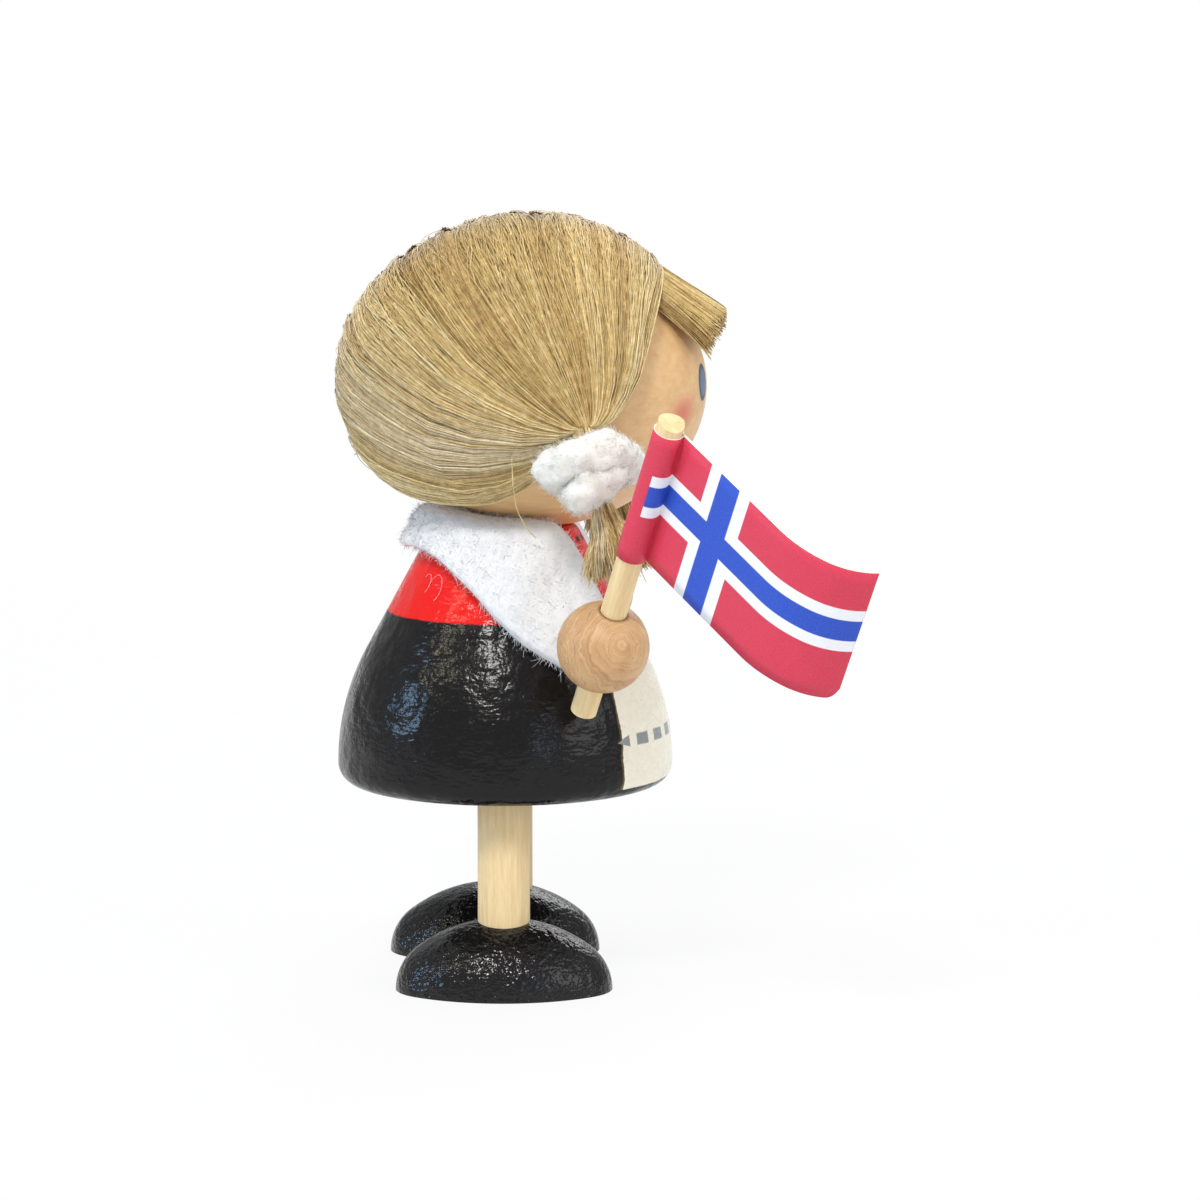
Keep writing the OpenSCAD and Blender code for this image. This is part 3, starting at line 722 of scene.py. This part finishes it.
def fringe_strands(name, strands=2400, rows=8):
    """A straight bunch from under the wig's front edge to a cut end."""
    rng = random_for(name)
    x = np.sort(rng.uniform(-0.5, 0.5, strands)) * (FRINGE_W - 0.2)
    clump = lock_noise(rng, x / FRINGE_W + 0.5, 34, 2.0)
    small = lock_noise(rng, x / FRINGE_W + 0.5, 110, 2.0)
    under = rng.uniform(0, 1, strands) ** 1.5 * FRINGE_T
    f = np.broadcast_to(np.linspace(0, 1, rows), (strands, rows))
    wave = rng.normal(0, 0.05, (strands, 1)) * np.sin(3.5 * f + rng.uniform(0, 6, (strands, 1)))
    spread = rng.normal(0, 0.28, (strands, 1))
    longer = (0.28 * clump + rng.uniform(-0.5, 0.1, strands))[:, None]
    deep = under[:, None] - 0.16 * clump[:, None] * f + wave
    points = fringe_place(x[:, None] + wave, f, deep, spread, longer)
    radii = rng.uniform(*STRAND_R, (strands, 1)) * np.where(f > 0.99, 0.6, 1.0)
    shape, faces = tubes(out_of_head(points), radii)
    tone = np.clip(0.52 + 0.12 * clump + 0.12 * small + rng.normal(0, 0.13, strands), 0, 1)
    return make_mesh(name, shape, faces, flax, "flax", tone=np.repeat(tone, rows * 3))


def fringe_base(name, columns=90, rows=6):
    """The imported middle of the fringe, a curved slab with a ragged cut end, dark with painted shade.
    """
    rng = random_for(name)
    x = (np.linspace(-0.5, 0.5, columns) * (FRINGE_W - 0.6))[:, None]
    f = np.broadcast_to(np.linspace(0, 1, rows), (columns, rows))
    ragged = -rng.uniform(0.4, 1.0, (columns, 1))
    shells = [fringe_place(x, f, under, 0.0, ragged) for under in (0.3, FRINGE_T - 0.15)]
    ring = np.concatenate([shells[0], shells[1][:, ::-1]], axis=1)
    points = ring.reshape(-1, 3)
    count = 2 * rows
    faces = rod_faces(columns, count)
    # dark tone as painted shade inside the bunch of strands
    tone = np.repeat(np.clip(rng.normal(0.22, 0.08, columns), 0, 1), count)
    return make_mesh(name, out_of_head(points), faces, flax_painted_shade, "flax", tone=tone)


def stray_hairs(name, count=110, rows=12):
    """Single hairs that stand off the wig, and one that hangs over the collar."""
    rng = random_for(name)
    u = rng.uniform(0.02, 0.98, count)
    start = rng.uniform(0.0, 0.75, count)
    reach = rng.uniform(0.12, 0.32, count)
    f = np.linspace(0, 1, rows)
    v = np.clip(start[:, None] + reach[:, None] * f, 0, 1)
    uu = np.clip(u[:, None] + rng.normal(0, 0.03, (count, 1)) * f, 0, 1)
    off = 1.0 + rng.uniform(0.02, 0.22, (count, 1)) * np.sin(math.pi * f)
    side = np.where(rng.random(count) < 0.5, -1.0, 1.0)
    points = hair_place(uu, v, np.full(v.shape, -TAIL_START), off, hair_thickness(uu, v))
    points[..., 0] *= side[:, None]
    paths = out_of_head(points)
    hanging = np.array([[-19.5, -1.2, 62.6], [-19.9, -1.3, 59.5], [-19.6, -1.7, 56.6],
                        [-18.8, -2.9, 54.2], [-18.2, -3.9, 53.2]])
    at = np.linspace(0, 4, rows)
    fine = np.stack([np.interp(at, np.arange(5), part) for part in hanging.T], -1)
    paths = np.concatenate([paths, fine[None]])
    radii = np.full(paths.shape[:2], 0.045)
    radii[-1] = 0.07
    shape, faces = tubes(paths, radii)
    tone = np.clip(rng.normal(0.72, 0.1, len(paths)), 0, 1)
    return make_mesh(name, shape, faces, flax, "flax", tone=np.repeat(tone, rows * 3))


# ---------------------------------------------------------------- fluffy yarn ties
def yarn_path(steps=130):
    """The yarn's middle: once round the hair, and a straight end each way past the crossing."""
    half = 180 + YARN_CROSS
    f = np.linspace(0, 1, steps)
    over = YARN_TAIL / (2 * YARN_TAIL + math.radians(2 * half) * YARN_RING_R)
    g = np.clip((f - over) / (1 - 2 * over), 0, 1)
    w = half * (2 * g - 1)
    past = np.where(f < over, (f - over) / over, np.where(f > 1 - over, (f - 1 + over) / over, 0.0))
    side = -cosd(w)[:, None] * HANG_SIDE + sind(w)[:, None] * HANG_FRONT
    ahead = sind(w)[:, None] * HANG_SIDE + cosd(w)[:, None] * HANG_FRONT
    path = (TIE_MIDDLE + YARN_RING_R * side + (past * YARN_TAIL)[:, None] * ahead
            + (w / 360 * YARN_CLIMB)[:, None] * HANG)
    # the first end lies over the second one, which comes out below it and hangs
    knots = [0, 0.06, 0.12, 0.19, 0.60, 0.68, 0.74, 0.81, 0.87, 0.93, 1]
    shifts = [(HANG, [1.7, 1.1, 0.6, 0, -0.5, -1.4, -2.0, -1.9, -1.3, -0.5, 0.1]),
              (HANG_FRONT, [0.5, 0, 0, 0, 0, 0, 0, 0, 0.4, 1.2, 1.9]),
              (HANG_SIDE, [1.0, 1.0, 0.7, 0, 0, -0.5, -0.6, -0.2, 0, 0.2, 0.3])]
    for way, sizes in shifts:
        amount = np.interp(f, knots, sizes)
        for _ in range(2):
            amount = np.convolve(np.pad(amount, 4, "edge"), np.full(9, 1 / 9), "valid")
        path = path + amount[:, None] * way
    return path


def lumps(rng, points, size, waves=7):
    """A smooth uneven field from about -1 to 1, whose lumps are size apart."""
    ways = unit(rng.normal(0, 1, (waves, 3))) / size
    phase = rng.uniform(0, 6.3, waves)
    return np.sin(2 * math.pi * (points @ ways.T) + phase).sum(-1) / math.sqrt(waves)


def hair_tie(name, left, sides=40):
    """A lumpy rope of combed cotton, and the fibres that stand off it."""
    rng = random_for("hair_tie")
    path = yarn_path()
    steps = len(path)
    f = np.linspace(0, 1, steps)
    ends = np.sqrt(np.clip(np.minimum(f, 1 - f) / 0.07, 0.02, 1))
    turn = 2 * math.pi * np.arange(sides) / sides
    ahead = unit(np.gradient(path, axis=0))
    across = unit(np.cross(ahead, HANG))
    over = np.cross(across, ahead)
    ring = (np.cos(turn)[None, :, None] * across[:, None]
            + np.sin(turn)[None, :, None] * over[:, None])
    skin = path[:, None] + YARN_D / 2 * ends[:, None, None] * ring
    from_hair = path - TIE_MIDDLE - ((path - TIE_MIDDLE) @ HANG)[:, None] * HANG
    outside = (ring * unit(from_hair)[:, None]).sum(-1)
    bulge = (0.30 * lumps(rng, skin, 4.2) + 0.16 * lumps(rng, skin, 1.9)
             + 0.06 * lumps(rng, skin, 0.8) + 0.22 * (1 + outside))
    skin = skin + (bulge * ends[:, None])[..., None] * ring
    faces = rod_faces(steps, sides)
    points = skin.reshape(-1, 3)
    count = 9000
    pick = rng.integers(0, len(points), count)
    away = ring.reshape(-1, 3)[pick]
    lie = unit(ahead.repeat(sides, 0)[pick] + rng.normal(0, 0.9, (count, 3)))
    length = rng.uniform(0.3, 1.0, (count, 1, 1)) ** 1.5
    g = np.linspace(0, 1, 5)[None, :, None]
    reach = 0.45 * g * (1 - 0.45 * g) * away[:, None] + 0.8 * g * lie[:, None]
    fibre = points[pick][:, None] + length * reach
    if left:
        points, fibre = mirrored(points), mirrored(fibre)
        faces = [face[::-1] for face in faces]
    rope = make_mesh(name, out_of_head(points), faces, cotton, "yarn")
    add_fibres(name + "_fluff", out_of_head(fibre), cotton, "yarn")
    return rope


# ---------------------------------------------------------------- felt
SKIRT_R, SKIRT_Z, HEM_R, FLANK_R, SHOULDER_LEAN = 19.5, 22.5, 2.3, 28.0, 28.5
FLANK_Z = SKIRT_Z + HEM_R
JOIN_Z = FLANK_Z + FLANK_R * sind(SHOULDER_LEAN)
JOIN_R = SKIRT_R - FLANK_R * (1 - cosd(SHOULDER_LEAN))
HAND_REACH = math.hypot(HAND[0], HAND[1])
HAND_TURN = 90 + math.degrees(math.atan2(-HAND[1], -HAND[0]))
FELT_END_R = HAND_REACH - HAND_D / 2 - FELT_T - SOFT_GAP


def body_r(z):
    """The turned body's radius at the height z."""
    cone = JOIN_R - (z - JOIN_Z) * math.tan(math.radians(SHOULDER_LEAN))
    flank = SKIRT_R - FLANK_R + np.sqrt(np.maximum(FLANK_R ** 2 - (z - FLANK_Z) ** 2, 0))
    return np.where(z > JOIN_Z, cone, np.where(z > FLANK_Z, flank, SKIRT_R))


def felt_rows():
    """Lower and upper edge of the strip from nape to hand: angle from the nape, height, room.

    The upper edge stands up a little fuller in front of the shoulder than the solid's edge.
    """
    route = np.array([
        [[0, -0.54, 0], [0, 0.46, 0]],
        [[28, -0.48, 0], [28, 0.46, 0]],
        [[50, -0.65, 0], [55, 0.38, 0]],
        [[70, -1.13, 0], [88, 0.29, 0]],
        [[87, -1.83, 0], [115, 0.25, 0.5]],
        [[99, -2.35, 0.12], [128, 0, 1.0]]])
    rows = (route * [1, FELT_W, FELT_T] + [0, BODY_TOP, FELT_GAP]).tolist()
    low_z, high_z = HAND[2] - 0.33 * HAND_D, HAND[2] + 0.42 * HAND_D
    rows.append([[HAND_TURN - 4, low_z, FELT_END_R - float(body_r(low_z))],
                 [HAND_TURN + 12, high_z, FELT_END_R - float(body_r(high_z))]])
    return np.array(rows, float)


def along_rows(s):
    """The strip's two edges at s rows from the nape, on a smooth curve through the rows."""
    rows = felt_rows()
    last = len(rows) - 1
    i = np.minimum(np.floor(s).astype(int), last - 1)
    t = (s - i)[:, None, None]
    before = np.where((i > 0)[:, None, None], rows[np.maximum(i - 1, 0)], rows[1] * [-1, 1, 1])
    after = np.where((i + 2 > last)[:, None, None], 2 * rows[last] - rows[last - 1],
                     rows[np.minimum(i + 2, last)])
    b, c = rows[i], rows[i + 1]
    return b + 0.5 * t * ((c - before) + t * ((2 * before - 5 * b + 4 * c - after)
                                              + t * (3 * b - before - 3 * c + after)))


def felt_strip(name, per_row=14, columns=30):
    """The strip as one soft-edged band from hand to hand that lies on the body."""
    rng = random_for(name)
    last = len(felt_rows()) - 1
    s = np.linspace(0, last, last * per_row + 1)
    half = along_rows(s)
    edges = np.concatenate([(half * [-1, 1, 1])[:0:-1], half])
    n = len(edges)
    w = np.concatenate([np.linspace(0, 1, columns), np.linspace(1, 0, columns)])
    outside = np.repeat([0.0, 1.0], columns)
    p = (1 - w)[None, :, None] * edges[:, None, 0] + w[None, :, None] * edges[:, None, 1]
    swell = lock_noise(rng, np.linspace(0, 1, n), 12)[:, None] * 0.14
    thick = outside * (FELT_T - 0.1) * np.sqrt(1.03 - np.abs(2 * w - 1) ** 7)
    thick = thick[None] * (1 + swell) + outside * rng.normal(0, 0.03, (n, 2 * columns))
    r = body_r(p[..., 1]) + p[..., 2] + thick
    points = np.stack([-r * sind(p[..., 0]), r * cosd(p[..., 0]), p[..., 1]], -1)
    faces = [face[::-1] for face in rod_faces(n, 2 * columns)]
    shape = points.reshape(-1, 3)
    strip = make_mesh(name, shape, faces, felt_cloth, "felt")
    # fibres: short over the face, longer along both edges, and a few very long ones at the hands
    on_face, face_length, on_edge, edge_length, very_long = 5200, 0.40, 3000, 0.52, 2.6
    outward = unit(points * [1, 1, 0]).reshape(-1, 3)
    edge = np.tile(np.abs(2 * w - 1) > 0.9, n)
    faceside = np.flatnonzero(np.tile(outside > 0, n) & ~edge)
    edgeside = np.flatnonzero(edge)
    pick = np.concatenate([rng.choice(faceside, on_face), rng.choice(edgeside, on_edge)])
    long = np.repeat([face_length, edge_length], [on_face, on_edge])
    near_hand = (shape[pick, 2] < HAND[2] + 1) & (long > face_length)
    chance = np.where(near_hand, 0.12, 0.01)
    long = long * np.where(rng.random(len(pick)) < chance, very_long, 1)
    upward = np.tile(np.where(w > 0.5, 1.0, -1.0), n)[pick]
    away = outward[pick] * 0.6 + np.outer(upward * (long > face_length), [0, 0, 1])
    lie = rng.normal(0, 0.55, (len(pick), 3))
    length = (long * rng.uniform(0.5, 1.35, len(pick)))[:, None, None]
    g = np.linspace(0, 1, 5)[None, :, None]
    curl = rng.normal(0, 0.3, (len(pick), 1, 3)) * g * g
    reach = g * unit(away + 0.5 * lie)[:, None] * 0.7 + 0.5 * g * lie[:, None] + curl
    fibre = shape[pick][:, None] + length * reach
    fuzz = add_fibres(name + "_fuzz", fibre, felt_cloth, "felt")
    return strip


def loose_fibres(name, rows=18):
    """Fibres of the felt that lie in loops on the bodice."""
    paths = []
    for angle, z, r, turn in [(48.0, 46.2, 1.0, 240), (40.0, 46.6, 0.7, 200)]:
        w = np.linspace(-60, turn - 60, rows)
        height = z + 1.5 * r * sind(w)
        a = angle + np.degrees(r * cosd(w) / body_r(z))
        reach = body_r(height) + 0.1
        paths.append(np.stack([-reach * sind(a), reach * cosd(a), height], -1))
    paths = np.array(paths)
    shape, faces = tubes(paths, np.full(paths.shape[:2], 0.02))
    return make_mesh(name, shape, faces, felt_cloth, "felt")


# ---------------------------------------------------------------- flag
POLE_AXIS = np.array([-sind(POLE_LEAN) * cosd(POLE_TURN), -sind(POLE_LEAN) * sind(POLE_TURN),
                      cosd(POLE_LEAN)])


def out_of_hand(p):
    """From the pole's frame, with the hand's middle at 0 and +Z up the pole, to the doll's."""
    p = np.asarray(p, float)
    lean, turn = POLE_LEAN, 180 + POLE_TURN
    x = p[..., 0] * cosd(lean) + p[..., 2] * sind(lean)
    z = -p[..., 0] * sind(lean) + p[..., 2] * cosd(lean)
    y = p[..., 1]
    return HAND + np.stack([x * cosd(turn) - y * sind(turn), x * sind(turn) + y * cosd(turn), z], -1)


def sheet_line(off, near, steps=20):
    """One layer seen along the pole, off to the left of the sheet's middle, from near to the fly."""
    w1, w2 = np.linspace(0, BEND_A1, steps), BEND_A1 + np.linspace(0, BEND_A2, steps)[1:]
    middle = np.array([FLAG_FLAT, BEND_R1])
    second = middle + (BEND_R1 - BEND_R2) * np.array([sind(BEND_A1), -cosd(BEND_A1)])
    straight = np.linspace(near, FLAG_FLAT, steps)[:-1]
    x, y = np.concatenate([
        np.stack([straight, np.full(steps - 1, off)], -1),
        middle + (BEND_R1 - off) * np.stack([sind(w1), -cosd(w1)], -1),
        second + (BEND_R2 - off) * np.stack([sind(w2), -cosd(w2)], -1)]).T
    c, k = cosd(FLAG_SWING), sind(FLAG_SWING)
    return crease_at() + np.stack([x * c - y * k, x * k + y * c], -1)


def round_pole(angle):
    """Places of the layer round the pole, seen along the pole."""
    r = POLE_D / 2 + GLUE_GAP + PAPER_T / 2
    return r * np.stack([cosd(angle), sind(angle)], -1)


def crease_at():
    return round_pole(np.array(FLAG_CREASE))


def soft_bend(before, corner, after, steps=9):
    t = np.linspace(0, 1, steps)[1:-1, None]
    return (1 - t) ** 2 * before + 2 * t * (1 - t) * corner + t ** 2 * after


def flag_sheet(name, rows=12):
    """One strip of paper: the front layer from the fly, once round the pole, and the back layer.

    Each point keeps its place in the print: mm from the crease, and mm up from the lower edge.
    """
    off, corner_r, back_rise = PAPER_T / 2 + 0.01, 1.3, 0.22
    front, back = sheet_line(-off, 0.75)[::-1], sheet_line(off, 0.6)
    wrap = round_pole(np.linspace(FLAG_CREASE - 20, FLAG_CREASE - 346, 60))
    lead, trail = soft_bend(front[-1], crease_at(), wrap[0]), soft_bend(wrap[-1], crease_at(), back[0])
    line = np.concatenate([front, lead, wrap, trail, back])
    n = len(line)
    run = np.concatenate([[0], np.cumsum(np.linalg.norm(np.diff(line, axis=0), axis=1))])
    front_crease = run[len(front) + len(lead) // 2]
    back_crease = run[n - len(back) - len(trail) // 2]
    along = np.maximum(front_crease - run, run - back_crease)
    fly = min(front_crease, run[-1] - back_crease)
    ahead = unit(np.gradient(line, axis=0))
    outward = np.stack([-ahead[:, 1], ahead[:, 0]], -1)
    top = POLE_L - POLE_FOOT - FLAG_DROP - POLE_D / 2 * math.tan(math.radians(POLE_CUT))
    corner = np.clip(along - (fly - corner_r), 0, corner_r)
    low = corner_r - np.sqrt(corner_r ** 2 - corner ** 2)
    high = FLAG_H + back_rise * np.clip((run - back_crease) / fly, 0, 1) ** 2
    up = low[:, None] + (high - low)[:, None] * np.linspace(0, 1, rows)
    sides = [(line + outward * PAPER_T / 2, up), (line - outward * PAPER_T / 2, up[:, ::-1])]
    points = np.concatenate([np.stack([np.repeat(at[:, :1], rows, 1), np.repeat(at[:, 1:], rows, 1),
                                       h + top - FLAG_H], -1) for at, h in sides], axis=1)
    count = 2 * rows
    flat = np.stack([np.repeat(along[:, None], count, 1), np.concatenate([h for _, h in sides], axis=1),
                     np.zeros((n, count))], -1)
    sheet = make_mesh(name, out_of_hand(points).reshape(-1, 3), rod_faces(n, count), flag_print,
                      "flag_paper", "flag", flat=flat.reshape(-1, 3))
    sheet.data.materials.append(paper_white)
    for polygon in sheet.data.polygons:
        columns = {v % count for v in polygon.vertices}
        polygon.material_index = int(max(columns) >= rows)
        polygon.use_smooth = columns not in ({rows - 1, rows}, {0, count - 1}) and len(columns) < count
    return sheet


# ---------------------------------------------------------------- the whole doll
flax = flax_material("flax_strand")
# the flax under the loose strands, darker all over as painted shade between the strands
flax_painted_shade = flax_material("flax_painted_shade", 0.88)
cotton = fluff_material("cotton_yarn", linear(244, 243, 238), linear(228, 225, 214))
felt_cloth = fluff_material("white_felt", linear(242, 242, 243), linear(226, 228, 232))
flag_print = flag_material()
paper_white = paper_material()

finishes = {
    "body": body_material(),
    "head": head_material(),
    "neck_dowel": wood("neck_wood", (0, 0, 1), 0.55),
    "right_leg": wood("leg_wood", (0, 0, 1), 0.5, 0.75),
    "flag_pole": wood("pole_wood", POLE_AXIS, 0.6, 0.7),
    "right_hand": bead_material(),
    "right_shoe": shoe_material(),
}
for name, twin in (("left_leg", "right_leg"), ("left_hand", "right_hand"), ("left_shoe", "right_shoe")):
    finishes[name] = finishes[twin]
for name, material in finishes.items():
    NODES[name].data.materials.clear()
    NODES[name].data.materials.append(material)

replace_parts(wig_base("wig_base"), "flax_wig")
hair_strands("wig_strands_right", left=False)
hair_strands("wig_strands_left", left=True)
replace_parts(fringe_base("fringe_base"), "flax_fringe")
fringe_strands("fringe_strands")
stray_hairs("stray_hairs")
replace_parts(hair_tie("hair_tie_right", False), "right_hair_tie")
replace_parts(hair_tie("hair_tie_left", True), "left_hair_tie")
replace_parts(felt_strip("felt_strip"), "felt_sleeves")
loose_fibres("loose_fibres")
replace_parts(flag_sheet("flag_sheet"), "paper_flag")


# ---------------------------------------------------------------- camera, floor and light
def add_camera():
    """The photograph's view: from the doll's right, a little above."""
    distance, pitch, target = 560.0, math.radians(7.9), np.array([0.0, -11.05, 43.66])
    ahead = np.array([math.cos(pitch), 0, -math.sin(pitch)])
    data = bpy.data.cameras.new("camera")
    data.sensor_width, data.lens = 36.0, 144.5
    data.clip_start, data.clip_end = 0.01, 100.0
    camera = add_object("camera", data)
    camera.location = ((target - distance * ahead) * MM).tolist()
    camera.rotation_euler = (math.pi / 2 - pitch, 0, -math.pi / 2)
    bpy.context.scene.camera = camera


def white_for_camera(name, share):
    """A pale surface that shows the camera plain white, but keeps some shading around the doll."""
    m = Material(name, Base_Color=(0.7, 0.7, 0.7, 1), Roughness=0.9)
    x, y, _ = m.split(m.place())
    share = m.plus(share, m.times(m.step(m.length(x, y), 60.0, 500.0), 1 - share))
    glow = m.nodes.new("ShaderNodeEmission")
    glow.inputs["Color"].default_value = (1, 1, 1, 1)
    path = m.nodes.new("ShaderNodeLightPath")
    seen = m.math("MAXIMUM", path.outputs["Is Camera Ray"],
                  m.math("MAXIMUM", path.outputs["Is Glossy Ray"], path.outputs["Is Transmission Ray"]))
    blend = m.nodes.new("ShaderNodeMixShader")
    m.put(blend.inputs[0], m.times(seen, share))
    m.links.new(m.shader.outputs[0], blend.inputs[1])
    m.links.new(glow.outputs[0], blend.inputs[2])
    m.links.new(blend.outputs[0], m.nodes["Material Output"].inputs[0])
    return m.data


def add_floor():
    mesh, size = bpy.data.meshes.new("floor"), 30.0
    corners = [(-size, -size, 0), (size, -size, 0), (size, size, 0), (-size, size, 0)]
    mesh.from_pydata(corners, [], [(0, 1, 2, 3)])
    mesh.materials.append(white_for_camera("floor_white", 0.88))
    floor = add_object("floor", mesh)


def add_lamp(name, where, size, power, colour=(1, 1, 1)):
    """A square soft lamp that shines at the doll's middle. where is in metres."""
    data = bpy.data.lights.new(name, "AREA")
    data.size, data.energy, data.color = size, power, colour
    lamp = add_object(name, data)
    lamp.location = where
    aim = unit(np.array([0, -0.005, 0.045]) - where)
    lamp.rotation_euler = (math.acos(-aim[2]), 0, math.atan2(-aim[0], aim[1]))


def add_world():
    world = bpy.data.worlds.new("studio")
    world.use_nodes = True
    nodes, links = world.node_tree.nodes, world.node_tree.links
    light = nodes["Background"]
    light.inputs[0].default_value, light.inputs[1].default_value = (0.96, 0.98, 1.0, 1), 0.5
    white = nodes.new("ShaderNodeBackground")
    white.inputs[0].default_value, white.inputs[1].default_value = (1, 1, 1, 1), 1.0
    path, blend = nodes.new("ShaderNodeLightPath"), nodes.new("ShaderNodeMixShader")
    links.new(path.outputs["Is Camera Ray"], blend.inputs[0])
    links.new(light.outputs[0], blend.inputs[1])
    links.new(white.outputs[0], blend.inputs[2])
    links.new(blend.outputs[0], nodes["World Output"].inputs[0])
    bpy.context.scene.world = world


add_camera()
add_floor()
add_world()
add_lamp("key", (-0.42, 0.11, 0.52), 0.14, 2.3, (1.0, 0.98, 0.94))
add_lamp("window", (-0.15, 0.62, 0.25), 0.155, 1.1, (0.40, 0.66, 1.0))
add_lamp("lantern", (-0.22, 0.38, 0.43), 0.07, 0.25, (1.0, 0.93, 0.72))
add_lamp("low_window", (-0.50, -0.25, 0.14), 0.08, 0.12, (0.55, 0.74, 1.0))
add_lamp("front", (-0.30, -0.50, 0.30), 0.35, 0.9)
add_lamp("far_side", (0.50, -0.15, 0.40), 0.40, 1.4)
add_lamp("top", (0.10, 0.0, 0.70), 0.40, 1.2)
bpy.context.scene.view_settings.view_transform = "Standard"
